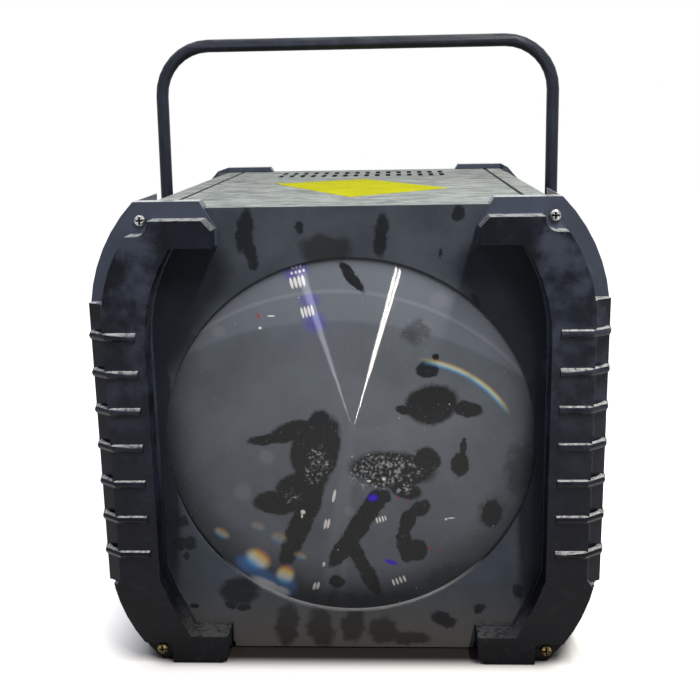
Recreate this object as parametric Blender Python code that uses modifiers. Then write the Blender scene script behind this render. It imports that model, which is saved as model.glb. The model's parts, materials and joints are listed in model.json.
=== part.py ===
"""LED effect light: a folded steel body with a round lens, held between four moulded bumpers
and hung from a rod handle.

Metres, +Z up. X runs from left to right as seen from the front, the lens looks along -Y and
the feet stand on Z = 0.
Bumper sizes named DEPTH are measured backwards from the front plane of the front bumpers.
"""

import math

import bmesh
import bpy
from mathutils import Matrix, Vector

MM = 0.001
GAP = 0.3 * MM
OVERLAP = 1.0 * MM
PAST = 5.0 * MM

# Body of folded sheet
SHEET = 1.2 * MM
BODY_HALF_WIDTH = 114.4 * MM
BODY_HEIGHT = 257.6 * MM
BODY_DEPTH = 328.0 * MM
STRIP_WIDTH = 13.1 * MM
LEDGE_WIDTH = 11.3 * MM
SEAM_GAP = 0.6 * MM

# Vent slots in the lid
VENT_COLUMNS = 16
VENT_PITCH = 8.33 * MM
VENT_WIDTH = 3.6 * MM
VENT_LENGTH = 25.0 * MM
VENT_ROWS = (93.7 * MM, 126.7 * MM)

# Bumpers. Their contour hangs from the body: STANDOUT sizes run outwards from its side, INSET
# sizes inwards, DROP sizes down from the bumper's top and RISE sizes up from its foot.
PANEL_SETBACK = 20.3 * MM
SKIRT_CLEARANCE = 0.8 * MM
FACE_DEPTH = 2.2 * MM
PLATE_DEPTH = 17.0 * MM
HOOK_DEPTH = 28.0 * MM
HOOK_THICKNESS = 4.0 * MM
WING_DEPTH = 75.0 * MM
BUMPER_STANDOUT = 27.6 * MM
CORNER_RADIUS = 92.5 * MM
TOP_RIM = 9.7 * MM
LOW_FACE_RIM = 4.5 * MM
LOW_RIM = 2.9 * MM
LOW_RIM_DEPTH = 6.5 * MM
LOW_RIM_RISE = 48.0 * MM
INNER_INSET = 5.6 * MM
INNER_BEND_DROP = 75.6 * MM
LUG_LENGTH = 38.7 * MM
LUG_DROP = 24.2 * MM
LUG_CHAMFER = 8.9 * MM
LUG_CHAMFER_DROP = 14.8 * MM
BLOCK_DROP = 9.0 * MM
BLOCK_CHAMFER = 5.6 * MM
FOOT_LENGTH = 37.4 * MM
FOOT_RISE = 17.3 * MM
FOOT_START = 15.8 * MM
FOOT_SLOPE = 5.3 * MM
FOOT_SLOPE_RISE = 38.0 * MM
FOOT_BEND_RISE = 52.0 * MM
FOOT_CORNER = 4.0 * MM
DRAFT = 0.5 * MM
WALL = 3.0 * MM
CAVITY_END_GAP = 8.6 * MM
BAND_DROP = 54.1 * MM
BAND_FRONT_DEPTH = 5.0 * MM
BAND_SHOULDER = 1.6 * MM
BAND_SHOULDER_DEPTH = 8.5 * MM
BAND_EDGE_DEPTH = 13.0 * MM

# Ribs of the bumpers
RIB_COUNT = 7
RIB_DROP = 71.3 * MM
RIB_PITCH = 21.04 * MM
RIB_RADIUS = 2.5 * MM
RIB_START_INSET = 28.0 * MM
RIB_CORNER_INSET = 12.0 * MM
RIB_SIDE_INSET = 1.5 * MM
RIB_SLOPE = 9.2 * MM
RIB_SLOPE_DEPTH = 9.4 * MM
RIB_SIDE_DEPTH = 16.0 * MM
RIB_END_DEPTH = 46.0 * MM
RIB_RUNOUT = 6.0 * MM

# Pan-head screws
BUMPER_SCREW_INSET = 3.2 * MM
BUMPER_SCREW_DROP = 9.9 * MM
BUMPER_SCREW_LOW = 7.2 * MM
BUMPER_SCREW_RADIUS = 1.5 * MM
BUMPER_SCREW_HEAD = 3.4 * MM
BUMPER_SCREW_LENGTH = 9.0 * MM
SMALL_SCREW_RADIUS = 1.3 * MM
SMALL_SCREW_HEAD = 2.8 * MM
HEAD_HEIGHT_RATIO = 0.68
RECESS_RATIO = 0.3

# Handle and its clamps
PIVOT_HEIGHT = 132.8 * MM
HANDLE_STANDOUT = 19.9 * MM
HANDLE_REACH = 223.5 * MM
HANDLE_ROD_RADIUS = 4.3 * MM
HANDLE_BEND_RADIUS = 33.0 * MM
HANDLE_LEAN = math.radians(2.9)
PADDLE_THICKNESS = 5.0 * MM
PADDLE_RADIUS = 11.0 * MM
PADDLE_LENGTH = 20.0 * MM
JOGGLE_START = 26.0 * MM
JOGGLE_END = 58.0 * MM
STUD_RADIUS = 4.0 * MM
STUD_COLLAR_RADIUS = 8.5 * MM
STUD_COLLAR_THICKNESS = 2.0 * MM
WASHER_RADIUS = 12.5 * MM
WASHER_THICKNESS = 3.0 * MM
KNOB_RADIUS = 17.0 * MM
KNOB_LOBE = 2.0 * MM
KNOB_LOBES = 6
KNOB_HEIGHT = 12.0 * MM
KNOB_COLLAR_RADIUS = 9.0 * MM
KNOB_COLLAR_HEIGHT = 5.7 * MM
NUT_RADIUS = 8.0 * MM
NUT_HEIGHT = 6.5 * MM

# Lens and its clips
LENS_HOLE_INSET = 9.2 * MM
LENS_DROP = 4.0 * MM
LENS_LAP = 4.3 * MM
LENS_FLANGE = 3.0 * MM
LENS_HOLE_GAP = 1.8 * MM
LENS_RISE = 12.0 * MM
LENS_THICKNESS = 3.0 * MM
CLIP_LENGTH = 24.0 * MM
CLIP_WIDTH = 12.0 * MM
CLIP_SHEET = 2.0 * MM
CLIP_REACH = 3.5 * MM

# LED engine
LED_PLANE = 84.0 * MM
LED_GRID = 6
LED_PITCH = 16.0 * MM
LED_RADIUS = 2.5 * MM
LED_HEIGHT = 7.0 * MM
LED_BOARD_SIZE = 116.0 * MM
BOARD_THICKNESS = 1.6 * MM
STANDOFF_RADIUS = 3.0 * MM
LED_STANDOFF = 6.0 * MM
BRACKET_SHEET = 1.5 * MM
BRACKET_HALF_WIDTH = 64.0 * MM
BRACKET_TOP = 205.0 * MM
BRACKET_FOOT = 30.0 * MM

# Power board
POWER_BOARD_X = 40.0 * MM
POWER_BOARD_Y = 40.0 * MM
POWER_BOARD_WIDTH = 100.0 * MM
POWER_BOARD_LENGTH = 110.0 * MM
POWER_STANDOFF = 8.0 * MM
TRANSFORMER_SIZE = (38.0 * MM, 34.0 * MM, 30.0 * MM)
CAPACITOR_RADIUS = 9.0 * MM
CAPACITOR_HEIGHT = 30.0 * MM
SINK_SIZE = (12.0 * MM, 60.0 * MM, 32.0 * MM)
SINK_FINS = 6
CONNECTOR_SIZE = (12.0 * MM, 8.0 * MM, 9.0 * MM)
LEAD_RADIUS = 2.5 * MM

# Fan
FAN_CENTRE_Z = 130.0 * MM
FAN_SIZE = 80.0 * MM
FAN_DEPTH = 25.0 * MM
FAN_BORE = 38.0 * MM
FAN_HUB_RADIUS = 14.0 * MM
FAN_BLADES = 7
FAN_TIP_GAP = 1.4 * MM
FAN_BLADE_WIDTH = 17.0 * MM
FAN_BLADE_SHEET = 1.6 * MM
FAN_BLADE_PITCH = math.radians(38)
FAN_SHAFT_RADIUS = 1.5 * MM
FAN_PLATE = 3.5 * MM
FAN_SCREW_OFFSET = 35.75 * MM
GUARD_SHEET = 1.2 * MM
GUARD_RINGS = ((6.0 * MM, 13.5 * MM), (16.0 * MM, 24.5 * MM), (27.0 * MM, 36.0 * MM))
GUARD_SPOKE = 3.0 * MM

# Controls on the rear panel
DISPLAY_Z = 222.0 * MM
DISPLAY_WIDTH = 52.0 * MM
DISPLAY_HEIGHT = 22.0 * MM
WINDOW_THICKNESS = 1.5 * MM
CONTROL_BOARD_WIDTH = 124.0 * MM
CONTROL_BOARD_HEIGHT = 54.0 * MM
CONTROL_BOARD_DROP = 10.0 * MM
CONTROL_STANDOFF = 12.6 * MM
BUTTON_DROP = 24.0 * MM
BUTTON_PITCH = 20.0 * MM
BUTTON_COUNT = 4
BUTTON_RADIUS = 4.0 * MM
BUTTON_FLANGE = 5.2 * MM
BUTTON_PROUD = 2.6 * MM
BUTTON_TRAVEL = 1.0 * MM
SWITCH_SIZE = 6.0 * MM
SWITCH_HEIGHT = 3.8 * MM
MICROPHONE_X = 44.0 * MM
MICROPHONE_RADIUS = 4.8 * MM
MICROPHONE_HEIGHT = 7.0 * MM
MICROPHONE_HOLE = 1.6 * MM

# Sockets on the rear panel
SOCKET_Z = 50.0 * MM
SOCKET_FLANGE = 2.0 * MM
RIVET_HEAD = 0.9 * MM
RIVET_HEAD_RADIUS = 2.6 * MM
RIVET_TAIL_RADIUS = 2.2 * MM
DATA_IN_X = -64.0 * MM
DATA_OUT_X = -26.0 * MM
DATA_FLANGE_WIDTH = 26.0 * MM
DATA_FLANGE_HEIGHT = 31.0 * MM
DATA_BARREL = 11.5 * MM
DATA_BORE = 9.3 * MM
DATA_DEPTH = 24.0 * MM
DATA_RECESS = 15.0 * MM
DATA_PIN_CIRCLE = 5.0 * MM
DATA_PIN_RADIUS = 1.2 * MM
DATA_PIN_LENGTH = 12.0 * MM
DATA_FACE_RECESS = 1.5 * MM
DATA_RIVET = (9.5 * MM, 12.0 * MM)
INLET_X = 62.0 * MM
INLET_FLANGE_WIDTH = 50.0 * MM
INLET_FLANGE_HEIGHT = 25.0 * MM
INLET_WIDTH = 27.4 * MM
INLET_HEIGHT = 20.4 * MM
INLET_DEPTH = 25.0 * MM
INLET_RECESS_WIDTH = 24.0 * MM
INLET_RECESS_HEIGHT = 16.4 * MM
INLET_RECESS = 16.0 * MM
INLET_PIN = (2.0 * MM, 4.0 * MM)
INLET_PIN_X = 7.0 * MM
INLET_PIN_Z = 2.0 * MM
INLET_PIN_LENGTH = 13.0 * MM
INLET_RIVET_X = 20.0 * MM
FUSE_X = 16.0 * MM
FUSE_BORE = 5.2 * MM
FUSE_WALL = 1.8 * MM
FUSE_FLANGE_RADIUS = 9.0 * MM
FUSE_FLANGE = 2.5 * MM
FUSE_DEPTH = 32.0 * MM
FUSE_RADIUS = 2.6 * MM
FUSE_LENGTH = 20.0 * MM
FUSE_CAP_RADIUS = 7.2 * MM
FUSE_CAP_HEIGHT = 5.0 * MM
FUSE_SLOT = 1.4 * MM

# Places worked out from the sizes above
BODY_BOTTOM = HOOK_THICKNESS
BODY_TOP = BODY_BOTTOM + BODY_HEIGHT
BODY_FRONT = -BODY_DEPTH / 2
BODY_REAR = BODY_DEPTH / 2
FRONT_PLANE = BODY_FRONT - PANEL_SETBACK
PANEL_BACK = BODY_FRONT + SHEET
REAR_PANEL_FACE = BODY_REAR - SHEET
SHELL_HALF_DEPTH = BODY_REAR - SHEET - GAP
FLOOR = BODY_BOTTOM + SHEET
INSIDE_X = BODY_HALF_WIDTH - SHEET
BUMPER_TOP = BODY_TOP + HOOK_THICKNESS
BUMPER_HALF_WIDTH = BODY_HALF_WIDTH + BUMPER_STANDOUT
CORNER_X = BUMPER_HALF_WIDTH - CORNER_RADIUS
CORNER_HALF_SPAN = math.sqrt(CORNER_RADIUS**2 - (CORNER_RADIUS - BUMPER_STANDOUT + 2 * GAP) ** 2)
CORNER_TOP_Z = BUMPER_TOP - CORNER_HALF_SPAN
CORNER_LOW_Z = CORNER_HALF_SPAN
INNER_X = BODY_HALF_WIDTH - INNER_INSET
INNER_BEND_Z = BUMPER_TOP - INNER_BEND_DROP
LUG_END_X = INNER_X - LUG_LENGTH
LUG_BOTTOM = BUMPER_TOP - LUG_DROP
BLOCK_TOP = BUMPER_TOP - BLOCK_DROP
FOOT_END_X = INNER_X - FOOT_LENGTH
BAND_TOP = BUMPER_TOP - BAND_DROP
RIB_TOP = BUMPER_TOP - RIB_DROP
BUMPER_SCREW_X = BODY_HALF_WIDTH - BUMPER_SCREW_INSET
BUMPER_SCREW_TOP = BUMPER_TOP - BUMPER_SCREW_DROP
HANDLE_HALF_WIDTH = BODY_HALF_WIDTH + HANDLE_STANDOUT
CONTROL_BOARD_Z = DISPLAY_Z - CONTROL_BOARD_DROP
BUTTON_Z = DISPLAY_Z - BUTTON_DROP
LENS_CENTRE_Z = (BODY_BOTTOM + BODY_TOP) / 2 - LENS_DROP
LENS_HOLE_RADIUS = BODY_HALF_WIDTH - LENS_HOLE_INSET
LENS_FLANGE_RADIUS = LENS_HOLE_RADIUS + LENS_LAP
LENS_DOME_RADIUS = LENS_HOLE_RADIUS - LENS_HOLE_GAP

PARTS = "led_effect_light"
CUTTERS = "cutters"


def clear_scene():
    for obj in list(bpy.data.objects):
        bpy.data.objects.remove(obj, do_unlink=True)


def collection(name):
    found = bpy.data.collections.get(name)
    if found is None:
        found = bpy.data.collections.new(name)
        bpy.context.scene.collection.children.link(found)
    return found


def finish(name, colour, roughness, metallic=0.0):
    found = bpy.data.materials.get(name)
    if found is None:
        found = bpy.data.materials.new(name)
        found.use_nodes = True
        shader = found.node_tree.nodes["Principled BSDF"]
        shader.inputs["Base Color"].default_value = (*colour, 1.0)
        shader.inputs["Roughness"].default_value = roughness
        shader.inputs["Metallic"].default_value = metallic
        found.diffuse_color = (*colour, 1.0)
    return found


def painted_steel():
    return finish("painted_steel", (0.045, 0.052, 0.060), 0.55)


def moulded_plastic():
    return finish("moulded_plastic", (0.020, 0.022, 0.030), 0.45)


def black_plastic():
    return finish("black_plastic", (0.012, 0.012, 0.013), 0.5)


def handle_paint():
    return finish("handle_paint", (0.028, 0.030, 0.040), 0.4)


def zinc_steel():
    return finish("zinc_steel", (0.62, 0.61, 0.58), 0.3, 1.0)


def brass():
    return finish("brass", (0.70, 0.52, 0.25), 0.35, 1.0)


def clear_acrylic():
    return finish("clear_acrylic", (0.30, 0.32, 0.33), 0.25)


def circuit_board():
    return finish("circuit_board", (0.02, 0.16, 0.06), 0.5)


def led_epoxy():
    return finish("led_epoxy", (0.85, 0.86, 0.82), 0.2)


def bare_aluminium():
    return finish("bare_aluminium", (0.60, 0.61, 0.62), 0.4, 1.0)


def core_steel():
    return finish("core_steel", (0.20, 0.19, 0.17), 0.5, 0.6)


def washer_rubber():
    return finish("washer_rubber", (0.015, 0.015, 0.015), 0.85)


def cable_jacket():
    return finish("cable_jacket", (0.025, 0.025, 0.026), 0.6)


def red_film():
    return finish("red_film", (0.18, 0.01, 0.01), 0.2)


def glass_tube():
    return finish("glass_tube", (0.75, 0.78, 0.78), 0.1)


def place(name, data, material, location=(0, 0, 0), rotation=(0, 0, 0)):
    obj = bpy.data.objects.new(name, data)
    data.materials.clear()
    data.materials.append(material)
    obj.location = location
    obj.rotation_euler = rotation
    collection(PARTS).objects.link(obj)
    return obj


def evaluated(obj):
    """The object's finished mesh, in the object's own space."""
    bpy.context.view_layer.update()
    graph = bpy.context.evaluated_depsgraph_get()
    return bpy.data.meshes.new_from_object(obj.evaluated_get(graph))


def baked(obj):
    """Replaces an object's modifiers, or a curve, by the mesh that they make."""
    mesh = evaluated(obj)
    form = bmesh.new()
    form.from_mesh(mesh)
    bmesh.ops.remove_doubles(form, verts=form.verts, dist=0.001 * MM)
    form.to_mesh(mesh)
    form.free()
    name = obj.name
    matrix = obj.matrix_world.copy()
    bpy.data.objects.remove(obj, do_unlink=True)
    made = bpy.data.objects.new(name, mesh)
    made.matrix_world = matrix
    collection(PARTS).objects.link(made)
    return made


def as_tool(obj):
    """Makes the object a helper that a Boolean reads."""
    for home in list(obj.users_collection):
        home.objects.unlink(obj)
    collection(CUTTERS).objects.link(obj)
    obj.hide_render = True
    obj.display_type = "WIRE"


def combine(target, tool, operation):
    modifier = target.modifiers.new(tool.name, "BOOLEAN")
    modifier.operation = operation
    modifier.object = tool
    as_tool(tool)


def cut(target, *tools):
    for tool in tools:
        combine(target, tool, "DIFFERENCE")


def unite(target, *tools):
    for tool in tools:
        combine(target, tool, "UNION")


def joined(name, pieces, material):
    """One object holding every piece as a solid of its own."""
    form = bmesh.new()
    for piece in pieces:
        mesh = evaluated(piece)
        mesh.transform(piece.matrix_world)
        form.from_mesh(mesh)
        bpy.data.objects.remove(piece, do_unlink=True)
    mesh = bpy.data.meshes.new(name)
    form.to_mesh(mesh)
    form.free()
    return place(name, mesh, material)


def block(name, material, low, high):
    """A box between two corners."""
    low = Vector(low)
    high = Vector(high)
    size = high - low
    form = bmesh.new()
    bmesh.ops.create_cube(form, size=1.0)
    bmesh.ops.scale(form, vec=size, verts=form.verts)
    mesh = bpy.data.meshes.new(name)
    form.to_mesh(mesh)
    form.free()
    return place(name, mesh, material, (low + high) / 2)


TURNS = {
    "X": (0, math.pi / 2, 0),
    "-X": (0, -math.pi / 2, 0),
    "Y": (-math.pi / 2, 0, 0),
    "-Y": (math.pi / 2, 0, 0),
    "Z": (0, 0, 0),
}


def cylinder(name, material, radius, start, length, axis="Z", sides=20):
    """A cylinder from the start point along the axis."""
    form = bmesh.new()
    bmesh.ops.create_cone(
        form, cap_ends=True, segments=sides, radius1=radius, radius2=radius, depth=length
    )
    bmesh.ops.translate(form, verts=form.verts, vec=(0, 0, length / 2))
    mesh = bpy.data.meshes.new(name)
    form.to_mesh(mesh)
    form.free()
    for face in mesh.polygons:
        face.use_smooth = len(face.vertices) == 4
    return place(name, mesh, material, start, TURNS[axis])


def turned(name, material, profile, start, axis="Z", steps=24):
    """A turned piece. The profile is (radius, height) from the top down its outer side."""
    mesh = bpy.data.meshes.new(name)
    points = [(radius, 0, height) for radius, height in profile]
    edges = [(i, i + 1) for i in range(len(points) - 1)]
    if profile[-1][0] > 0:
        edges.append((len(points) - 1, 0))
    mesh.from_pydata(points, edges, [])
    obj = place(name, mesh, material, start, TURNS[axis])
    screw = obj.modifiers.new("turn", "SCREW")
    screw.steps = steps
    screw.render_steps = steps
    screw.use_merge_vertices = True
    screw.merge_threshold = 0.01 * MM
    screw.use_smooth_shade = True
    return obj


HANDS = (("left", -1, "-X"), ("right", 1, "X"))

PLANES = {
    "XY": (0, 0, 0),
    "XZ": (math.pi / 2, 0, 0),
    "YZ": (math.pi / 2, 0, math.pi / 2),
}


def sheet(name, material, loops, thickness, centre, plane="XZ"):
    """A flat outline, with any further loops as holes, given a thickness about its centre plane."""
    curve = bpy.data.curves.new(name, "CURVE")
    curve.dimensions = "2D"
    curve.fill_mode = "BOTH"
    curve.extrude = thickness / 2
    for loop in loops:
        spline = curve.splines.new("POLY")
        spline.points.add(len(loop) - 1)
        for point, (across, up) in zip(spline.points, loop):
            point.co = (across, up, 0, 1)
        spline.use_cyclic_u = True
    obj = baked(place(name, curve, material, centre, PLANES[plane]))
    obj.data.materials.clear()
    obj.data.materials.append(material)
    return obj


def folded(name, material, rows, thickness):
    """Bent sheet between two rows of points. Its outer faces are to the right of the rows' direction."""
    form = bmesh.new()
    near, far = [[form.verts.new(point) for point in row] for row in rows]
    for i in range(len(near) - 1):
        form.faces.new((near[i], far[i], far[i + 1], near[i + 1]))
    mesh = bpy.data.meshes.new(name)
    form.to_mesh(mesh)
    form.free()
    obj = place(name, mesh, material)
    thicken = obj.modifiers.new("sheet", "SOLIDIFY")
    thicken.thickness = thickness
    thicken.offset = -1
    thicken.use_even_offset = True
    return obj


def tube(name, material, path, radius, resolution=4):
    """A round rod or lead along a list of points."""
    curve = bpy.data.curves.new(name, "CURVE")
    curve.dimensions = "3D"
    curve.bevel_depth = radius
    curve.bevel_resolution = resolution
    curve.use_fill_caps = True
    spline = curve.splines.new("POLY")
    spline.points.add(len(path) - 1)
    for point, position in zip(spline.points, path):
        point.co = (*position, 1)
    obj = baked(place(name, curve, material))
    obj.data.materials.clear()
    obj.data.materials.append(material)
    return obj


def arc(centre, radius, start, end, steps):
    """Points on an arc, with its angles in degrees."""
    angles = [math.radians(start + (end - start) * i / steps) for i in range(steps + 1)]
    return [(centre[0] + radius * math.cos(a), centre[1] + radius * math.sin(a)) for a in angles]


def circle(centre, radius, steps=24):
    return arc(centre, radius, 0, 360, steps)[:-1]


def rectangle(centre, width, height):
    x, y = centre
    return [
        (x - width / 2, y - height / 2),
        (x + width / 2, y - height / 2),
        (x + width / 2, y + height / 2),
        (x - width / 2, y + height / 2),
    ]


def rounded_rectangle(centre, width, height, radius, steps=4):
    points = []
    for turn, (sx, sy) in enumerate(((1, 1), (-1, 1), (-1, -1), (1, -1))):
        corner = (centre[0] + sx * (width / 2 - radius), centre[1] + sy * (height / 2 - radius))
        points += arc(corner, radius, 90 * turn, 90 * turn + 90, steps)
    return points


def bumper_screw_places():
    """Name, x, y, z and outward direction of each bumper screw's seat."""
    levels = (("top", BUMPER_SCREW_TOP, PLATE_DEPTH), ("low", BUMPER_SCREW_LOW, LOW_RIM_DEPTH))
    places = []
    for end, facing in (("front", -1), ("rear", 1)):
        for hand, side in (("left", -1), ("right", 1)):
            for level, height, seat in levels:
                name = f"bumper_screw_{end}_{hand}_{level}"
                places.append(
                    (name, side * BUMPER_SCREW_X, facing * (-FRONT_PLANE - seat), height, facing),
                )
    return places


def bumper_screw_holes():
    radius = BUMPER_SCREW_RADIUS + GAP
    return [
        circle((side * BUMPER_SCREW_X, height), radius, 12)
        for side in (-1, 1)
        for height in (BUMPER_SCREW_TOP, BUMPER_SCREW_LOW)
    ]


def pan_screw(name, radius, head, length, seat, axis, steps=8):
    """A pan-head screw with a cross recess. Its head rests on the seat and faces along the axis."""
    height = head * HEAD_HEIGHT_RATIO
    profile = [
        (0, height),
        (head * 0.55, height * 0.92),
        (head * 0.88, height * 0.6),
        (head, GAP),
        (radius, GAP),
        (radius, -length),
        (0, -length),
    ]
    body = baked(turned(name, zinc_steel(), profile, (0, 0, 0), "Z", steps))
    reach = head * 0.62
    half = head * RECESS_RATIO / 2
    floor = height * 0.45
    for number, (x, y) in enumerate(((reach, half), (half, reach))):
        bar = block(
            f"{name}_recess_{number}",
            zinc_steel(),
            (-x, -y, floor),
            (x, y, height + PAST),
        )
        cut(body, bar)
    body = painted(baked(body), zinc_steel())
    body.location = seat
    body.rotation_euler = TURNS[axis]
    return body


def painted(obj, material):
    obj.data.materials.clear()
    obj.data.materials.append(material)
    return obj


def body_shell():
    """The folded U of the bottom and both sides, with top strips, lid ledges and end flanges."""
    strip_x = BODY_HALF_WIDTH - STRIP_WIDTH
    ledge_z = BODY_TOP - SHEET - GAP
    half = [
        (0, BODY_BOTTOM),
        (BODY_HALF_WIDTH, BODY_BOTTOM),
        (BODY_HALF_WIDTH, BODY_TOP),
        (strip_x, BODY_TOP),
        (strip_x, ledge_z),
        (strip_x - LEDGE_WIDTH, ledge_z),
    ]
    profile = [(-x, z) for x, z in reversed(half[1:])] + half[1:]
    rows = [[(x, y, z) for x, z in profile] for y in (-SHELL_HALF_DEPTH, SHELL_HALF_DEPTH)]
    shell = folded("body_shell", painted_steel(), rows, SHEET)
    for side in (-1, 1):
        for end in (-1, 1):
            y = end * SHELL_HALF_DEPTH
            x = side * (strip_x + SHEET / 2)
            wall = side * (INSIDE_X + SHEET / 2)
            flange = block(
                f"end_flange_{side}_{end}",
                painted_steel(),
                (min(x, wall), min(y - end * SHEET, y), FLOOR - SHEET / 2),
                (max(x, wall), max(y - end * SHEET, y), BODY_TOP - SHEET / 2),
            )
            unite(shell, flange)
    inset = STANDOFF_RADIUS + OVERLAP
    for number, (x, y) in enumerate(board_corners(POWER_BOARD_WIDTH, POWER_BOARD_LENGTH, inset)):
        start = (POWER_BOARD_X + x, POWER_BOARD_Y + y, FLOOR - SHEET / 2)
        length = POWER_STANDOFF + SHEET / 2
        unite(
            shell,
            cylinder(
                f"power_post_{number}",
                painted_steel(),
                STANDOFF_RADIUS,
                start,
                length,
                "Z",
                6,
            ),
        )
    start = (0, BODY_FRONT - PAST, LENS_CENTRE_Z)
    cut(
        shell,
        cylinder(
            "lens_way",
            painted_steel(),
            LENS_FLANGE_RADIUS + 2 * GAP,
            start,
            3 * PAST,
            "Y",
            48,
        ),
    )
    hole = BUMPER_SCREW_RADIUS + GAP
    for name, x, y, z, facing in bumper_screw_places():
        start = (x, facing * (SHELL_HALF_DEPTH + PAST), z)
        axis = "-Y" if facing > 0 else "Y"
        cut(shell, cylinder(f"{name}_hole", painted_steel(), hole, start, 2 * PAST, axis, 12))
    for side, axis in ((-1, "X"), (1, "-X")):
        start = (side * (BODY_HALF_WIDTH + PAST), 0, PIVOT_HEIGHT)
        cut(
            shell,
            cylinder(
                f"pivot_hole_{side}",
                painted_steel(),
                STUD_RADIUS + GAP,
                start,
                3 * PAST,
                axis,
            ),
        )
    return shell


def front_panel():
    """The front sheet. Between the feet its lower edge carries on almost to the floor."""
    skirt = FOOT_END_X - 2 * GAP
    outline = [
        (-BODY_HALF_WIDTH, BODY_BOTTOM),
        (-skirt, BODY_BOTTOM),
        (-skirt, SKIRT_CLEARANCE),
        (skirt, SKIRT_CLEARANCE),
        (skirt, BODY_BOTTOM),
        (BODY_HALF_WIDTH, BODY_BOTTOM),
        (BODY_HALF_WIDTH, BODY_TOP),
        (-BODY_HALF_WIDTH, BODY_TOP),
    ]
    loops = [outline, circle((0, LENS_CENTRE_Z), LENS_HOLE_RADIUS, 72)] + bumper_screw_holes()
    return sheet("front_panel", painted_steel(), loops, SHEET, (0, BODY_FRONT + SHEET / 2, 0))


def fan_screw_points():
    return [
        (sx * FAN_SCREW_OFFSET, FAN_CENTRE_Z + sz * FAN_SCREW_OFFSET)
        for sx in (-1, 1)
        for sz in (-1, 1)
    ]


def socket_rivet_points():
    points = []
    for x in (DATA_IN_X, DATA_OUT_X):
        points.append((x - DATA_RIVET[0], SOCKET_Z + DATA_RIVET[1]))
        points.append((x + DATA_RIVET[0], SOCKET_Z - DATA_RIVET[1]))
    points.append((INLET_X - INLET_RIVET_X, SOCKET_Z))
    points.append((INLET_X + INLET_RIVET_X, SOCKET_Z))
    return points


def button_places():
    first = -(BUTTON_COUNT - 1) / 2 * BUTTON_PITCH
    return [first + i * BUTTON_PITCH for i in range(BUTTON_COUNT)]


def rear_panel():
    outline = rectangle(
        (0, (BODY_BOTTOM + BODY_TOP) / 2), 2 * BODY_HALF_WIDTH, BODY_TOP - BODY_BOTTOM
    )
    small = SMALL_SCREW_RADIUS + GAP
    loops = [outline] + bumper_screw_holes()
    loops.append(circle((0, FAN_CENTRE_Z), FAN_BORE, 32))
    loops += [circle(point, small, 8) for point in fan_screw_points() + socket_rivet_points()]
    loops.append(rectangle((0, DISPLAY_Z), DISPLAY_WIDTH, DISPLAY_HEIGHT))
    loops += [circle((x, BUTTON_Z), BUTTON_RADIUS + GAP, 16) for x in button_places()]
    loops.append(circle((MICROPHONE_X, DISPLAY_Z), MICROPHONE_HOLE, 12))
    loops += [circle((x, SOCKET_Z), DATA_BARREL + GAP, 24) for x in (DATA_IN_X, DATA_OUT_X)]
    loops.append(circle((FUSE_X, SOCKET_Z), FUSE_BORE + FUSE_WALL + GAP, 20))
    loops.append(rectangle((INLET_X, SOCKET_Z), INLET_WIDTH + 2 * GAP, INLET_HEIGHT + 2 * GAP))
    panel = sheet("rear_panel", painted_steel(), loops, SHEET, (0, BODY_REAR - SHEET / 2, 0))
    inset = STANDOFF_RADIUS + OVERLAP
    for number, (x, z) in enumerate(board_corners(CONTROL_BOARD_WIDTH, CONTROL_BOARD_HEIGHT, inset)):
        start = (x, control_board_face() + GAP, CONTROL_BOARD_Z + z)
        length = REAR_PANEL_FACE + SHEET / 2 - start[1]
        unite(
            panel,
            cylinder(
                f"control_post_{number}",
                painted_steel(),
                STANDOFF_RADIUS,
                start,
                length,
                "Y",
                6,
            ),
        )
    return panel


def top_panel():
    half_width = BODY_HALF_WIDTH - STRIP_WIDTH - SEAM_GAP
    loops = [rectangle((0, 0), 2 * half_width, 2 * SHELL_HALF_DEPTH)]
    first = -(VENT_COLUMNS - 1) / 2 * VENT_PITCH
    for row in VENT_ROWS:
        for column in range(VENT_COLUMNS):
            centre = (first + column * VENT_PITCH, row)
            loops.append(rounded_rectangle(centre, VENT_WIDTH, VENT_LENGTH, VENT_WIDTH / 2.5, 1))
    return sheet("top_panel", painted_steel(), loops, SHEET, (0, 0, BODY_TOP - SHEET / 2), "XY")


def corner_angle(radius, centre_z, height):
    return math.degrees(math.asin((height - centre_z) / radius))


def inner_contour(inset):
    """The edge of the bumper that faces the lens, from the lug down to the foot, moved in."""
    x = INNER_X + inset
    centre = (x - CORNER_RADIUS, INNER_BEND_Z)
    lug_bottom = LUG_BOTTOM + inset
    foot_top = FOOT_RISE - inset
    points = [(LUG_END_X + inset, lug_bottom)]
    points += arc(
        centre,
        CORNER_RADIUS,
        corner_angle(CORNER_RADIUS, INNER_BEND_Z, lug_bottom),
        0,
        5,
    )
    points += [
        (x, FOOT_BEND_RISE),
        (x - FOOT_SLOPE, FOOT_SLOPE_RISE),
        (x - FOOT_START, foot_top),
        (FOOT_END_X + inset, foot_top),
    ]
    return points


def plate_outline():
    """The largest outline of the bumper: lug, side and foot."""
    rise = corner_angle(CORNER_RADIUS, CORNER_TOP_Z, BUMPER_TOP)
    points = inner_contour(0)
    points += [(FOOT_END_X, FOOT_CORNER), (FOOT_END_X + FOOT_CORNER, 0)]
    points += arc((CORNER_X, CORNER_LOW_Z), CORNER_RADIUS, -rise, 0, 7)
    points += arc((CORNER_X, CORNER_TOP_Z), CORNER_RADIUS, 0, rise, 7)
    points += [
        (LUG_END_X + LUG_CHAMFER, BUMPER_TOP),
        (LUG_END_X, BUMPER_TOP - LUG_CHAMFER_DROP),
    ]
    return points


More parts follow.
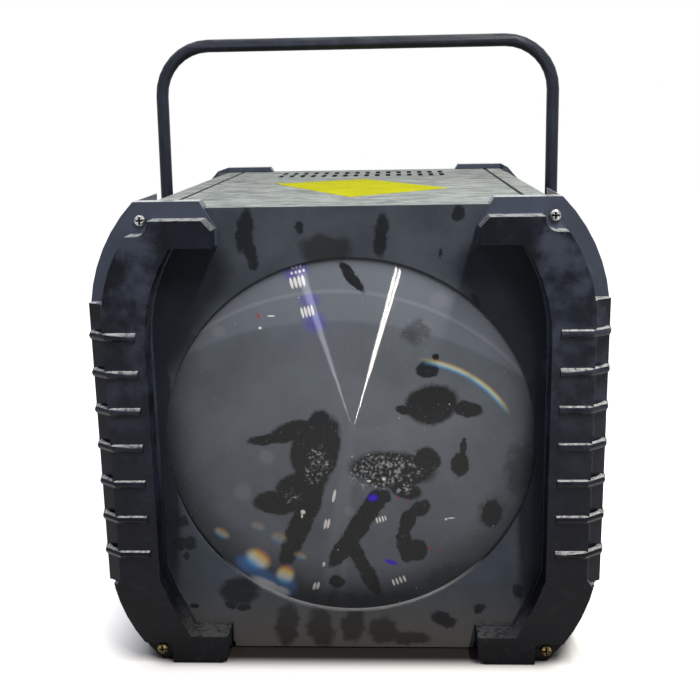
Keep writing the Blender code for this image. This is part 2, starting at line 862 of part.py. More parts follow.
def block_outline():
    """The raised main face, which leaves the rim and both screw seats behind it."""
    low_radius = CORNER_RADIUS - LOW_FACE_RIM
    top_radius = CORNER_RADIUS - TOP_RIM
    seat = BUMPER_SCREW_HEAD * 2
    low_notch = BUMPER_SCREW_LOW + seat * 0.85
    top_notch = BUMPER_SCREW_TOP - seat * 1.05
    notch_x = BUMPER_SCREW_X - seat
    points = inner_contour(DRAFT)
    points += [
        (FOOT_END_X + DRAFT, FOOT_CORNER + DRAFT),
        (FOOT_END_X + FOOT_CORNER + DRAFT, DRAFT),
        (notch_x, DRAFT),
    ]
    points += arc((notch_x + DRAFT * 4, low_notch - DRAFT * 4), DRAFT * 4, 180, 90, 3)
    low_angle = corner_angle(low_radius, CORNER_LOW_Z, low_notch)
    step_angle = corner_angle(low_radius, CORNER_LOW_Z, LOW_RIM_RISE)
    points += arc((CORNER_X, CORNER_LOW_Z), low_radius, low_angle, step_angle, 4)
    points.append((CORNER_X + top_radius, LOW_RIM_RISE + LOW_FACE_RIM))
    notch_angle = corner_angle(top_radius, CORNER_TOP_Z, top_notch)
    points += arc((CORNER_X, CORNER_TOP_Z), top_radius, 0, notch_angle, 5)
    points += arc((notch_x + seat, top_notch + seat), seat, 270, 180, 5)
    points += [
        (notch_x, BLOCK_TOP),
        (LUG_END_X + BLOCK_CHAMFER, BLOCK_TOP),
        (LUG_END_X + DRAFT, BLOCK_TOP - BLOCK_CHAMFER),
    ]
    return points


def low_rim_outline():
    """The rim below the ribs, which also carries the lower screw seat."""
    radius = CORNER_RADIUS - LOW_RIM
    start = corner_angle(radius, CORNER_LOW_Z, DRAFT)
    end = corner_angle(radius, CORNER_LOW_Z, LOW_RIM_RISE)
    points = arc((CORNER_X, CORNER_LOW_Z), radius, start, end, 6)
    inside = BUMPER_SCREW_X - 2 * BUMPER_SCREW_HEAD - OVERLAP
    return points + [
        (INNER_X + WALL, LOW_RIM_RISE),
        (INNER_X + WALL, FOOT_RISE),
        (inside, FOOT_RISE - OVERLAP),
        (inside, DRAFT),
    ]


def cavity_outline():
    """The hollow of the side wing, open towards the body."""
    radius = CORNER_RADIUS - WALL
    top = BUMPER_TOP - CAVITY_END_GAP
    inside = BODY_HALF_WIDTH - OVERLAP
    top_angle = corner_angle(radius, CORNER_TOP_Z, top)
    points = arc((CORNER_X, CORNER_LOW_Z), radius, -top_angle, 0, 5)
    points += arc((CORNER_X, CORNER_TOP_Z), radius, 0, top_angle, 5)
    return points + [(inside, top), (inside, CAVITY_END_GAP)]


def upright(name, outline, front, back):
    """An outline seen from the front, running from one depth to another behind the bumper's front plane."""
    return sheet(name, moulded_plastic(), [outline], back - front, (0, (front + back) / 2, 0))


def rib(number):
    """One half-round rib: along the face, over the corner and back along the side."""
    centre = RIB_RADIUS
    side_x = BUMPER_HALF_WIDTH - RIB_SIDE_INSET
    corner_x = BUMPER_HALF_WIDTH - RIB_CORNER_INSET
    height = RIB_TOP - number * RIB_PITCH
    path = [
        (BUMPER_HALF_WIDTH - RIB_START_INSET, centre),
        (corner_x, centre),
        (corner_x + RIB_SLOPE, RIB_SLOPE_DEPTH),
        (side_x, RIB_SIDE_DEPTH),
        (side_x, RIB_END_DEPTH),
        (side_x - RIB_RUNOUT, RIB_END_DEPTH + RIB_RUNOUT),
    ]
    return tube(
        f"rib_{number}",
        moulded_plastic(),
        [(x, y, height) for x, y in path],
        RIB_RADIUS,
        2,
    )


def bumper_mesh():
    """The right-hand moulding, with its front plane at Y = 0."""
    body = upright("bumper_form", plate_outline(), PLATE_DEPTH, WING_DEPTH)
    unite(body, upright("bumper_block", block_outline(), FACE_DEPTH, PLATE_DEPTH + OVERLAP))
    unite(body, upright("bumper_low_rim", low_rim_outline(), LOW_RIM_DEPTH, PLATE_DEPTH + OVERLAP))
    face_edge = CORNER_X + CORNER_RADIUS - TOP_RIM
    band = [
        (face_edge - WALL, BAND_FRONT_DEPTH),
        (face_edge, BAND_FRONT_DEPTH),
        (face_edge + BAND_SHOULDER, BAND_SHOULDER_DEPTH),
        (BUMPER_HALF_WIDTH - DRAFT, BAND_EDGE_DEPTH),
        (BUMPER_HALF_WIDTH - DRAFT, PLATE_DEPTH + OVERLAP),
        (face_edge - WALL, PLATE_DEPTH + OVERLAP),
    ]
    middle = (LOW_RIM_RISE + BAND_TOP) / 2
    unite(
        body,
        sheet(
            "bumper_band",
            moulded_plastic(),
            [band],
            BAND_TOP - LOW_RIM_RISE,
            (0, 0, middle),
            "XY",
        ),
    )
    ribs = joined("bumper_ribs", [rib(number) for number in range(RIB_COUNT)], moulded_plastic())
    unite(body, ribs)
    body_side = BODY_HALF_WIDTH + GAP
    inside = LUG_END_X - PAST
    behind = WING_DEPTH + PAST
    cut(
        body,
        block(
            "body_space",
            moulded_plastic(),
            (inside, PANEL_SETBACK - GAP, BODY_BOTTOM - GAP),
            (body_side, behind, BODY_TOP + GAP),
        ),
        block(
            "hook_end",
            moulded_plastic(),
            (inside, HOOK_DEPTH, -PAST),
            (body_side, behind, BUMPER_TOP + PAST),
        ),
        upright("wing_hollow", cavity_outline(), PANEL_SETBACK + WALL, WING_DEPTH - WALL),
    )
    for height in (BUMPER_SCREW_TOP, BUMPER_SCREW_LOW):
        start = (BUMPER_SCREW_X, -PAST, height)
        radius = BUMPER_SCREW_RADIUS + GAP
        length = PANEL_SETBACK + 2 * PAST
        cut(
            body,
            cylinder(f"screw_way_{height:.4f}", moulded_plastic(), radius, start, length, "Y", 12),
        )
    made = baked(body)
    mesh = made.data
    mesh.transform(made.matrix_world)
    bpy.data.objects.remove(made, do_unlink=True)
    return mesh


def bumpers():
    right = bumper_mesh()
    left = right.copy()
    left.transform(Matrix.Scale(-1, 4, (1, 0, 0)))
    left.flip_normals()
    half_turn = (0, 0, math.pi)
    place("bumper_front_right", right, moulded_plastic(), (0, FRONT_PLANE, 0))
    place("bumper_front_left", left, moulded_plastic(), (0, FRONT_PLANE, 0))
    place("bumper_rear_left", right.copy(), moulded_plastic(), (0, -FRONT_PLANE, 0), half_turn)
    place("bumper_rear_right", left.copy(), moulded_plastic(), (0, -FRONT_PLANE, 0), half_turn)


def bumper_screws():
    for name, x, y, z, facing in bumper_screw_places():
        length = abs(y) - BODY_REAR + BUMPER_SCREW_LENGTH
        axis = "Y" if facing > 0 else "-Y"
        pan_screw(name, BUMPER_SCREW_RADIUS, BUMPER_SCREW_HEAD, length, (x, y, z), axis, 12)


def handle():
    """The rod bail. It is modelled upright about its pivot, then leaned back."""
    paddle_x = BODY_HALF_WIDTH + 2 * GAP + WASHER_THICKNESS + PADDLE_THICKNESS / 2
    bend_x = HANDLE_HALF_WIDTH - HANDLE_BEND_RADIUS
    bend_z = HANDLE_REACH - HANDLE_BEND_RADIUS
    right = [(paddle_x, 0, WASHER_RADIUS + 2 * OVERLAP), (paddle_x, 0, JOGGLE_START)]
    for i in range(1, 5):
        share = i / 5
        ease = (1 - math.cos(math.pi * share)) / 2
        x = paddle_x + (HANDLE_HALF_WIDTH - paddle_x) * ease
        right.append((x, 0, JOGGLE_START + (JOGGLE_END - JOGGLE_START) * share))
    right.append((HANDLE_HALF_WIDTH, 0, JOGGLE_END))
    right += [(x, 0, z) for x, z in arc((bend_x, bend_z), HANDLE_BEND_RADIUS, 0, 90, 8)]
    path = right + [(-x, y, z) for x, y, z in reversed(right)]
    rod = tube("handle", handle_paint(), path, HANDLE_ROD_RADIUS, 3)
    for side in (-1, 1):
        end = arc((0, 0), PADDLE_RADIUS, 180, 360, 10)
        neck = HANDLE_ROD_RADIUS + OVERLAP
        outline = end + [(neck, PADDLE_LENGTH), (-neck, PADDLE_LENGTH)]
        paddle = sheet(
            f"paddle_{side}",
            handle_paint(),
            [outline],
            PADDLE_THICKNESS,
            (side * paddle_x, 0, 0),
            "YZ",
        )
        unite(rod, paddle)
    start = (-HANDLE_HALF_WIDTH - PAST, 0, 0)
    eye = cylinder(
        "handle_eye",
        handle_paint(),
        STUD_RADIUS + GAP,
        start,
        2 * (HANDLE_HALF_WIDTH + PAST),
        "X",
    )
    cut(rod, eye)
    made = baked(rod)
    made.data.materials.clear()
    made.data.materials.append(handle_paint())
    made.location = (0, 0, PIVOT_HEIGHT)
    made.rotation_euler = (-HANDLE_LEAN, 0, 0)
    return made


def handle_washers():
    for hand, side, axis in HANDS:
        profile = [
            (STUD_RADIUS + GAP, WASHER_THICKNESS),
            (WASHER_RADIUS, WASHER_THICKNESS),
            (WASHER_RADIUS, 0),
            (STUD_RADIUS + GAP, 0),
        ]
        start = (side * (BODY_HALF_WIDTH + GAP), 0, PIVOT_HEIGHT)
        turned(f"handle_washer_{hand}", washer_rubber(), profile, start, axis)


def stud_collar_x():
    """How far out the stud's collar starts, just clear of the handle's eye."""
    return BODY_HALF_WIDTH + 3 * GAP + WASHER_THICKNESS + PADDLE_THICKNESS


def clamp_knob(hand, side, axis):
    """A lobed knob, with its origin where it meets the collar of its stud."""
    name = f"clamp_knob_{hand}"
    seat = stud_collar_x() + STUD_COLLAR_THICKNESS + GAP
    profile = [
        (0, KNOB_COLLAR_HEIGHT + OVERLAP),
        (KNOB_COLLAR_RADIUS, KNOB_COLLAR_HEIGHT + OVERLAP),
        (KNOB_COLLAR_RADIUS, 0),
        (0, 0),
    ]
    start = (side * seat, 0, PIVOT_HEIGHT)
    knob = baked(turned(name, black_plastic(), profile, start, axis))
    outline = []
    for i in range(6 * KNOB_LOBES):
        angle = 2 * math.pi * i / (6 * KNOB_LOBES)
        radius = KNOB_RADIUS - KNOB_LOBE + KNOB_LOBE * math.cos(KNOB_LOBES * angle)
        outline.append((radius * math.cos(angle), radius * math.sin(angle)))
    middle = seat + KNOB_COLLAR_HEIGHT + KNOB_HEIGHT / 2
    head = sheet(
        f"{name}_head",
        black_plastic(),
        [outline],
        KNOB_HEIGHT,
        (side * middle, 0, PIVOT_HEIGHT),
        "YZ",
    )
    unite(knob, head)
    knob.data.materials.clear()
    knob.data.materials.append(black_plastic())
    return knob


def clamp_stud(hand, side, axis):
    """The knob's steel stud, from its collar through the handle's eye and the case to the nut."""
    inner = INSIDE_X - NUT_HEIGHT
    collar = stud_collar_x()
    outer = collar + STUD_COLLAR_THICKNESS
    stud = cylinder(
        f"clamp_stud_{hand}",
        zinc_steel(),
        STUD_RADIUS,
        (side * inner, 0, PIVOT_HEIGHT),
        outer - inner,
        axis,
    )
    unite(
        stud,
        cylinder(
            f"stud_collar_{hand}",
            zinc_steel(),
            STUD_COLLAR_RADIUS,
            (side * collar, 0, PIVOT_HEIGHT),
            STUD_COLLAR_THICKNESS,
            axis,
        ),
    )
    return stud


def clamp_nuts():
    for hand, side, axis in HANDS:
        low = side * (INSIDE_X - GAP - NUT_HEIGHT)
        nut = cylinder(
            f"clamp_nut_{hand}",
            zinc_steel(),
            NUT_RADIUS,
            (low, 0, PIVOT_HEIGHT),
            NUT_HEIGHT,
            axis,
            6,
        )
        way = (low - side * PAST, 0, PIVOT_HEIGHT)
        cut(
            nut,
            cylinder(
                f"nut_bore_{hand}",
                zinc_steel(),
                STUD_RADIUS + GAP,
                way,
                NUT_HEIGHT + 2 * PAST,
                axis,
            ),
        )


def lens():
    """The domed disc. Its flange sits behind the front panel, and its origin is at its front."""
    sphere = (LENS_DOME_RADIUS**2 + LENS_RISE**2) / (2 * LENS_RISE)
    dome = []
    inner = []
    steps = 5
    for i in range(steps + 1):
        radius = LENS_DOME_RADIUS * i / steps
        rise = math.sqrt(sphere**2 - radius**2) - (sphere - LENS_RISE)
        dome.append((radius, rise + GAP * (i == steps)))
        if i < steps:
            inner.append((radius, rise - LENS_THICKNESS))
    profile = dome + [
        (LENS_FLANGE_RADIUS, GAP),
        (LENS_FLANGE_RADIUS, GAP - LENS_FLANGE),
        (LENS_DOME_RADIUS, GAP - LENS_FLANGE),
    ]
    profile += list(reversed(inner))
    start = (0, PANEL_BACK + 2 * GAP, LENS_CENTRE_Z)
    return turned("lens", clear_acrylic(), profile, start, "-Y", 48)


def clip_angles():
    return [math.radians(45 + 90 * i) for i in range(4)]


def lens_clips():
    """Four stepped clips that hold the lens flange against the back of the panel."""
    inner = LENS_FLANGE_RADIUS - CLIP_REACH
    step = LENS_FLANGE_RADIUS + GAP
    outer = inner + CLIP_LENGTH
    seat = LENS_FLANGE + 2 * GAP
    for number, angle in enumerate(clip_angles()):
        arm = block(
            f"lens_clip_{number + 1}",
            zinc_steel(),
            (inner, seat, -CLIP_WIDTH / 2),
            (outer, seat + CLIP_SHEET, CLIP_WIDTH / 2),
        )
        foot = block(
            f"clip_foot_{number}",
            zinc_steel(),
            (step, GAP, -CLIP_WIDTH / 2),
            (outer, seat + CLIP_SHEET / 2, CLIP_WIDTH / 2),
        )
        hole = cylinder(
            f"clip_hole_{number}",
            zinc_steel(),
            SMALL_SCREW_RADIUS + GAP,
            (clip_screw_radius(), -PAST, 0),
            4 * PAST,
            "Y",
            12,
        )
        turn = Matrix.Translation((0, PANEL_BACK, LENS_CENTRE_Z)) @ Matrix.Rotation(-angle, 4, "Y")
        bpy.context.view_layer.update()
        for piece in (arm, foot, hole):
            piece.matrix_world = turn @ piece.matrix_world
        unite(arm, foot)
        cut(arm, hole)


def clip_screw_radius():
    return LENS_FLANGE_RADIUS - CLIP_REACH + CLIP_LENGTH * 0.62


def lens_screws():
    thickness = LENS_FLANGE + 2 * GAP + CLIP_SHEET
    for number, angle in enumerate(clip_angles()):
        x = clip_screw_radius() * math.cos(angle)
        z = LENS_CENTRE_Z + clip_screw_radius() * math.sin(angle)
        seat = (x, PANEL_BACK + thickness, z)
        length = thickness - GAP
        pan_screw(
            f"lens_screw_{number + 1}",
            SMALL_SCREW_RADIUS,
            SMALL_SCREW_HEAD,
            length,
            seat,
            "Y",
        )


def bracket_face():
    """The Y of the bracket's front face."""
    return BODY_FRONT + LED_PLANE + BOARD_THICKNESS + LED_STANDOFF + 2 * GAP


def led_bracket():
    """A bent sheet that stands on the floor of the shell and carries the LED board."""
    face = bracket_face()
    foot = FLOOR + GAP
    profile = [(face + BRACKET_FOOT, foot), (face, foot), (face, BRACKET_TOP)]
    rows = [[(x, y, z) for y, z in profile] for x in (-BRACKET_HALF_WIDTH, BRACKET_HALF_WIDTH)]
    bracket = folded("led_bracket", bare_aluminium(), rows, BRACKET_SHEET)
    inset = STANDOFF_RADIUS + OVERLAP
    for number, (x, z) in enumerate(board_corners(LED_BOARD_SIZE, LED_BOARD_SIZE, inset)):
        start = (x, face + BRACKET_SHEET / 2, LENS_CENTRE_Z + z)
        length = LED_STANDOFF + BRACKET_SHEET / 2
        unite(
            bracket,
            cylinder(f"led_post_{number}", brass(), STANDOFF_RADIUS, start, length, "-Y", 6),
        )
    return bracket


def board_corners(width, height, inset):
    return [(sx * (width / 2 - inset), sz * (height / 2 - inset)) for sx in (-1, 1) for sz in (-1, 1)]


def led_board():
    """The board with its emitters and the header of its lead soldered on."""
    front = BODY_FRONT + LED_PLANE
    half = LED_BOARD_SIZE / 2
    board = block(
        "led_board",
        circuit_board(),
        (-half, front, LENS_CENTRE_Z - half),
        (half, front + BOARD_THICKNESS, LENS_CENTRE_Z + half),
    )
    first = -(LED_GRID - 1) / 2 * LED_PITCH
    profile = [
        (0, LED_HEIGHT),
        (LED_RADIUS, LED_HEIGHT - LED_RADIUS),
        (LED_RADIUS, -BOARD_THICKNESS / 2),
        (0, -BOARD_THICKNESS / 2),
    ]
    lamps = []
    for row in range(LED_GRID):
        for column in range(LED_GRID):
            start = (first + column * LED_PITCH, front, LENS_CENTRE_Z + first + row * LED_PITCH)
            lamps.append(turned(f"led_{row}_{column}", led_epoxy(), profile, start, "-Y", 6))
    unite(
        board,
        joined("led_lamps", lamps, led_epoxy()),
        header("led_header", led_connector_low()),
    )
    return board


def power_board_top():
    return FLOOR + 2 * GAP + POWER_STANDOFF + BOARD_THICKNESS


def led_connector_low():
    """The lower corner of the connector at the top edge of the LED board."""
    top = LENS_CENTRE_Z + LED_BOARD_SIZE / 2
    front = BODY_FRONT + LED_PLANE - CONNECTOR_SIZE[1] + OVERLAP
    return (-CONNECTOR_SIZE[0] / 2, front, top - CONNECTOR_SIZE[2])


def power_connector_low():
    """The lower corner of the connector at the front edge of the power board."""
    x = POWER_BOARD_X - POWER_BOARD_WIDTH / 2 + OVERLAP
    y = POWER_BOARD_Y - POWER_BOARD_LENGTH / 2 + OVERLAP
    return (x, y, power_board_top() - OVERLAP)


def mains_connector_low():
    """The lower corner of the connector at the rear edge of the power board."""
    x = POWER_BOARD_X + POWER_BOARD_WIDTH / 2 - CONNECTOR_SIZE[0] - OVERLAP
    y = POWER_BOARD_Y + POWER_BOARD_LENGTH / 2 - CONNECTOR_SIZE[1] - OVERLAP
    return (x, y, power_board_top() - OVERLAP)


def header(name, low):
    return block(name, led_epoxy(), low, [low[i] + CONNECTOR_SIZE[i] for i in range(3)])


def smooth_path(points, steps=4):
    """Points on a smooth curve through the given ones."""
    points = [Vector(point) for point in points]
    ends = [2 * points[0] - points[1]] + points + [2 * points[-1] - points[-2]]
    path = []
    for i in range(1, len(ends) - 2):
        before, start, end, after = ends[i - 1 : i + 3]
        for j in range(steps):
            t = j / steps
            path.append(
                0.5
                * (
                    2 * start
                    + (end - before) * t
                    + (2 * before - 5 * start + 4 * end - after) * t**2
                    + (3 * start - before - 3 * end + after) * t**3
                )
            )
    return path + [points[-1]]


def connector_top(low):
    """The middle of a header's upper face, with the gap that the lead keeps."""
    return Vector(
        (low[0] + CONNECTOR_SIZE[0] / 2, low[1] + CONNECTOR_SIZE[1] / 2, low[2] + CONNECTOR_SIZE[2] + GAP),
    )


def led_lead():
    """From the power board up behind the bracket, over its top edge and down to the LED board."""
    start = connector_top(power_connector_low())
    end = connector_top(led_connector_low())
    rise = 6 * LEAD_RADIUS
    over = BRACKET_TOP + rise
    back = bracket_face() + BRACKET_SHEET + rise
    up = Vector((0, 0, 2 * OVERLAP))
    points = [
        start + up,
        start + Vector((0, 0, rise)),
        (start.x, (start.y + back) / 2, (start.z + over) / 2),
        (end.x, back, over - rise),
        (end.x, (back + end.y) / 2, over),
        (end.x, end.y, end.z + rise),
        end + up,
    ]
    return tube("led_lead", cable_jacket(), [start] + smooth_path(points) + [end], LEAD_RADIUS, 2)


def mains_lead():
    """From the back of the mains inlet down to the power board."""
    start = Vector((INLET_X, BODY_REAR + GAP - INLET_DEPTH - GAP, SOCKET_Z))
    end = connector_top(mains_connector_low())
    run = 4 * LEAD_RADIUS
    out = Vector((0, -2 * OVERLAP, 0))
    up = Vector((0, 0, 2 * OVERLAP))
    points = [start + out, start + Vector((0, -run, 0)), end + Vector((0, 0, run)), end + up]
    return tube(
        "mains_lead",
        cable_jacket(),
        [start] + smooth_path(points) + [end],
        LEAD_RADIUS,
        2,
    )


def power_board():
    """The board with its two headers and both capacitors soldered on."""
    top = power_board_top()
    board = block(
        "power_board",
        circuit_board(),
        (
            POWER_BOARD_X - POWER_BOARD_WIDTH / 2,
            POWER_BOARD_Y - POWER_BOARD_LENGTH / 2,
            top - BOARD_THICKNESS,
        ),
        (POWER_BOARD_X + POWER_BOARD_WIDTH / 2, POWER_BOARD_Y + POWER_BOARD_LENGTH / 2, top),
    )
    unite(
        board,
        header("power_header", power_connector_low()),
        header("mains_header", mains_connector_low()),
    )
    size = 2 * CAPACITOR_RADIUS
    for number, share in enumerate((0.55, 0.98)):
        corner = on_power_board(0.72, share, size, size)
        start = corner + Vector((CAPACITOR_RADIUS, CAPACITOR_RADIUS, -OVERLAP))
        height = CAPACITOR_HEIGHT + OVERLAP
        unite(
            board,
            cylinder(
                f"capacitor_{number}",
                cable_jacket(),
                CAPACITOR_RADIUS,
                start,
                height,
                "Z",
                18,
            ),
        )
    return board


def on_power_board(share_x, share_y, size_x, size_y):
    """Lower corner of a component, placed by shares of the board's free length and width."""
    margin = 2 * STANDOFF_RADIUS + 2 * OVERLAP
    room_x = POWER_BOARD_WIDTH - 2 * margin - size_x
    room_y = POWER_BOARD_LENGTH - 2 * margin - size_y
    x = POWER_BOARD_X - POWER_BOARD_WIDTH / 2 + margin + share_x * room_x
    y = POWER_BOARD_Y - POWER_BOARD_LENGTH / 2 + margin + share_y * room_y
    return Vector((x, y, power_board_top() + GAP))


def transformer():
    """A laminated core with its winding showing at both sides."""
    width, length, height = TRANSFORMER_SIZE
    low = on_power_board(0.1, 0.45, width, length)
    core = block("transformer", core_steel(), low, low + Vector((width, length, height)))
    inset = height * 0.18
    winding = block(
        "winding",
        core_steel(),
        low + Vector((inset, -inset, inset)),
        low + Vector((width - inset, length + inset, height - inset)),
    )
    unite(core, winding)
    return core


def heatsink():
    """An aluminium comb that stands along the side of the power board."""
    width, length, height = SINK_SIZE
    low = on_power_board(1.0, 0.15, width, length)
    comb = block("heatsink", bare_aluminium(), low, low + Vector((width, length, height)))
    pitch = length / (SINK_FINS - 0.5)
    for number in range(SINK_FINS - 1):
        start = low.y + pitch * (number + 0.5)
        slot = block(
            f"fin_slot_{number}",
            bare_aluminium(),
            (low.x + width * 0.3, start, low.z + height * 0.12),
            (low.x + width + PAST, start + pitch / 2, low.z + height + PAST),
        )
        cut(comb, slot)
    return comb


def fan_rear():
    """The Y of the fan's face against the rear panel."""
    return REAR_PANEL_FACE - GAP


def fan_frame():
    """The square duct of the fan, with a motor plate on three arms at its inner end."""
    rear = fan_rear()
    centre = (0, FAN_CENTRE_Z)
    inner = rear - FAN_DEPTH
    loops = [rectangle(centre, FAN_SIZE, FAN_SIZE), circle(centre, FAN_BORE, 32)]
    loops += [circle(point, SMALL_SCREW_RADIUS + GAP, 8) for point in fan_screw_points()]
    frame = sheet("fan_frame", black_plastic(), loops, FAN_DEPTH, (0, rear - FAN_DEPTH / 2, 0))
    plate = cylinder(
        "motor_plate",
        black_plastic(),
        FAN_HUB_RADIUS,
        (0, inner + GAP, FAN_CENTRE_Z),
        FAN_PLATE,
        "Y",
        24,
    )
    unite(frame, plate)
    for number in range(3):
        arm = block(
            f"fan_arm_{number}",
            black_plastic(),
            (FAN_HUB_RADIUS - 2 * OVERLAP, inner + 2 * GAP, -2 * OVERLAP),
            (FAN_BORE + 2 * OVERLAP, inner + FAN_PLATE - GAP, 2 * OVERLAP),
        )
        bpy.context.view_layer.update()
        spoke_turn = Matrix.Rotation(math.radians(120 * number + 90), 4, "Y")
        turn = Matrix.Translation((0, 0, FAN_CENTRE_Z)) @ spoke_turn
        arm.matrix_world = turn @ arm.matrix_world
        unite(frame, arm)
    way = cylinder(
        "shaft_way",
        black_plastic(),
        FAN_SHAFT_RADIUS + GAP,
        (0, inner - PAST, FAN_CENTRE_Z),
        3 * PAST,
        "Y",
        16,
    )
    cut(frame, way)
    return frame


def fan_rotor():
    """Hub, shaft and blades, with its origin on the shaft's axis."""
    rear = fan_rear()
    inner = rear - FAN_DEPTH
    front = inner + FAN_PLATE + 2 * GAP
    length = rear - 2 * OVERLAP - front
    profile = [
        (0, length),
        (FAN_HUB_RADIUS, length),
        (FAN_HUB_RADIUS, 0),
        (FAN_SHAFT_RADIUS, 0),
        (FAN_SHAFT_RADIUS, -FAN_PLATE),
        (0, -FAN_PLATE),
    ]
    rotor = baked(turned("fan_rotor", black_plastic(), profile, (0, front, FAN_CENTRE_Z), "Y", 28))
    tip = FAN_BORE - FAN_TIP_GAP
    root = FAN_HUB_RADIUS - 2 * OVERLAP
    for number in range(FAN_BLADES):
        blade = block(
            f"blade_{number}",
            black_plastic(),
            (root, -FAN_BLADE_SHEET / 2, -FAN_BLADE_WIDTH / 2),
            (tip, FAN_BLADE_SHEET / 2, FAN_BLADE_WIDTH / 2),
        )
        bpy.context.view_layer.update()
        turn = (
            Matrix.Translation((0, front + length / 2, FAN_CENTRE_Z))
            @ Matrix.Rotation(2 * math.pi * number / FAN_BLADES, 4, "Y")
            @ Matrix.Rotation(FAN_BLADE_PITCH, 4, "X")
        )
        blade.matrix_world = turn @ blade.matrix_world
        unite(rotor, blade)
    rotor.data.materials.clear()
    rotor.data.materials.append(black_plastic())
    return rotor


def sector(inner, outer, start, end):
    """One curved window of the guard, between two radii and two angles."""
    centre = (0, FAN_CENTRE_Z)
    return arc(centre, outer, start, end, 5) + arc(centre, inner, end, start, 4)


def fan_guard():
    """A stamped finger guard on the outside of the rear panel."""
    size = FAN_SIZE + 2 * OVERLAP
    loops = [rounded_rectangle((0, FAN_CENTRE_Z), size, size, 5 * OVERLAP)]
    for inner, outer in GUARD_RINGS:
        half = math.degrees(GUARD_SPOKE / (inner + outer))
        loops += [sector(inner, outer, 45 + 90 * i + half, 135 + 90 * i - half) for i in range(4)]
    loops += [circle(point, SMALL_SCREW_RADIUS + GAP, 8) for point in fan_screw_points()]
    return sheet(
        "fan_guard",
        painted_steel(),
        loops,
        GUARD_SHEET,
        (0, BODY_REAR + GAP + GUARD_SHEET / 2, 0),
    )


def fan_screws():
    seat = BODY_REAR + GAP + GUARD_SHEET
    length = 2 * PAST
    for number, (x, z) in enumerate(fan_screw_points()):
        pan_screw(
            f"fan_screw_{number + 1}",
            SMALL_SCREW_RADIUS,
            SMALL_SCREW_HEAD,
            length,
            (x, seat, z),
            "Y",
        )


def control_board_face():
    """The Y of the control board's face towards the rear panel."""
    return REAR_PANEL_FACE - 2 * GAP - CONTROL_STANDOFF


def control_board():
    """The board with its display, its switches and the microphone capsule soldered on."""
    face = control_board_face()
    board = block(
        "control_board",
        circuit_board(),
        (-CONTROL_BOARD_WIDTH / 2, face - BOARD_THICKNESS, CONTROL_BOARD_Z - CONTROL_BOARD_HEIGHT / 2),
        (CONTROL_BOARD_WIDTH / 2, face, CONTROL_BOARD_Z + CONTROL_BOARD_HEIGHT / 2),
    )
    half = SWITCH_SIZE / 2
    for number, x in enumerate(button_places()):
        low = (x - half, face - BOARD_THICKNESS / 2, BUTTON_Z - half)
        high = (x + half, face + SWITCH_HEIGHT, BUTTON_Z + half)
        unite(board, block(f"switch_{number}", zinc_steel(), low, high))
    start = (MICROPHONE_X, face - BOARD_THICKNESS / 2, DISPLAY_Z)
    length = MICROPHONE_HEIGHT + BOARD_THICKNESS / 2
    unite(
        board,
        cylinder("microphone", bare_aluminium(), MICROPHONE_RADIUS, start, length, "Y", 20),
    )
    half_width = DISPLAY_WIDTH / 2 - OVERLAP
    half_height = DISPLAY_HEIGHT / 2 - OVERLAP
    module = block(
        "display_module",
        black_plastic(),
        (-half_width, face - BOARD_THICKNESS / 2, DISPLAY_Z - half_height),
        (half_width, BODY_REAR - WINDOW_THICKNESS - GAP, DISPLAY_Z + half_height),
    )
    unite(board, module)
    return board


def display_window():
    return block(
        "display_window",
        red_film(),
        (-DISPLAY_WIDTH / 2 + GAP, BODY_REAR - WINDOW_THICKNESS, DISPLAY_Z - DISPLAY_HEIGHT / 2 + GAP),
        (DISPLAY_WIDTH / 2 - GAP, BODY_REAR, DISPLAY_Z + DISPLAY_HEIGHT / 2 - GAP),
    )


def menu_button(number, x):
    """A cap that passes through the rear panel, kept in by its flange."""
    flange_front = REAR_PANEL_FACE - GAP
    low = control_board_face() + SWITCH_HEIGHT + GAP + BUTTON_TRAVEL
    top = BODY_REAR + BUTTON_PROUD - flange_front
    profile = [
        (0, top),
        (BUTTON_RADIUS * 0.8, top),
        (BUTTON_RADIUS, top - BUTTON_RADIUS * 0.2),
        (BUTTON_RADIUS, 0),
        (BUTTON_FLANGE, 0),
        (BUTTON_FLANGE, low - flange_front),
        (0, low - flange_front),
    ]
    return turned(
        f"menu_button_{number}",
        black_plastic(),
        profile,
        (x, flange_front, BUTTON_Z),
        "Y",
        16,
    )


def rivet(body, x, z):
    """A set rivet through a socket's flange and the rear panel, one with the socket that it holds."""
    head = SOCKET_FLANGE + RIVET_HEAD
    tail = -(SHEET + 2 * GAP)
    profile = [
        (0, head),
        (RIVET_HEAD_RADIUS * 0.7, head),
        (RIVET_HEAD_RADIUS, SOCKET_FLANGE - GAP),
        (SMALL_SCREW_RADIUS, SOCKET_FLANGE - GAP),
        (SMALL_SCREW_RADIUS, tail),
        (RIVET_TAIL_RADIUS, tail),
        (RIVET_TAIL_RADIUS, tail - RIVET_HEAD),
        (0, tail - RIVET_HEAD),
    ]
    name = f"{body.name}_rivet_{x:.4f}"
    unite(body, turned(name, bare_aluminium(), profile, (x, BODY_REAR + GAP, z), "Y", 8))


def socket_body(name, x):
    """The flange and barrel that both data sockets share."""
    outer = BODY_REAR + GAP
    outline = rounded_rectangle((x, SOCKET_Z), DATA_FLANGE_WIDTH, DATA_FLANGE_HEIGHT, 2 * OVERLAP)
    body = sheet(
        name,
        black_plastic(),
        [outline],
        SOCKET_FLANGE,
        (0, outer + SOCKET_FLANGE / 2, 0),
    )
    for side in (-1, 1):
        rivet(body, x + side * DATA_RIVET[0], SOCKET_Z - side * DATA_RIVET[1])
    start = (x, outer + SOCKET_FLANGE - GAP, SOCKET_Z)
    unite(
        body,
        cylinder(f"{name}_barrel", black_plastic(), DATA_BARREL, start, DATA_DEPTH, "-Y", 24),
    )
    return body


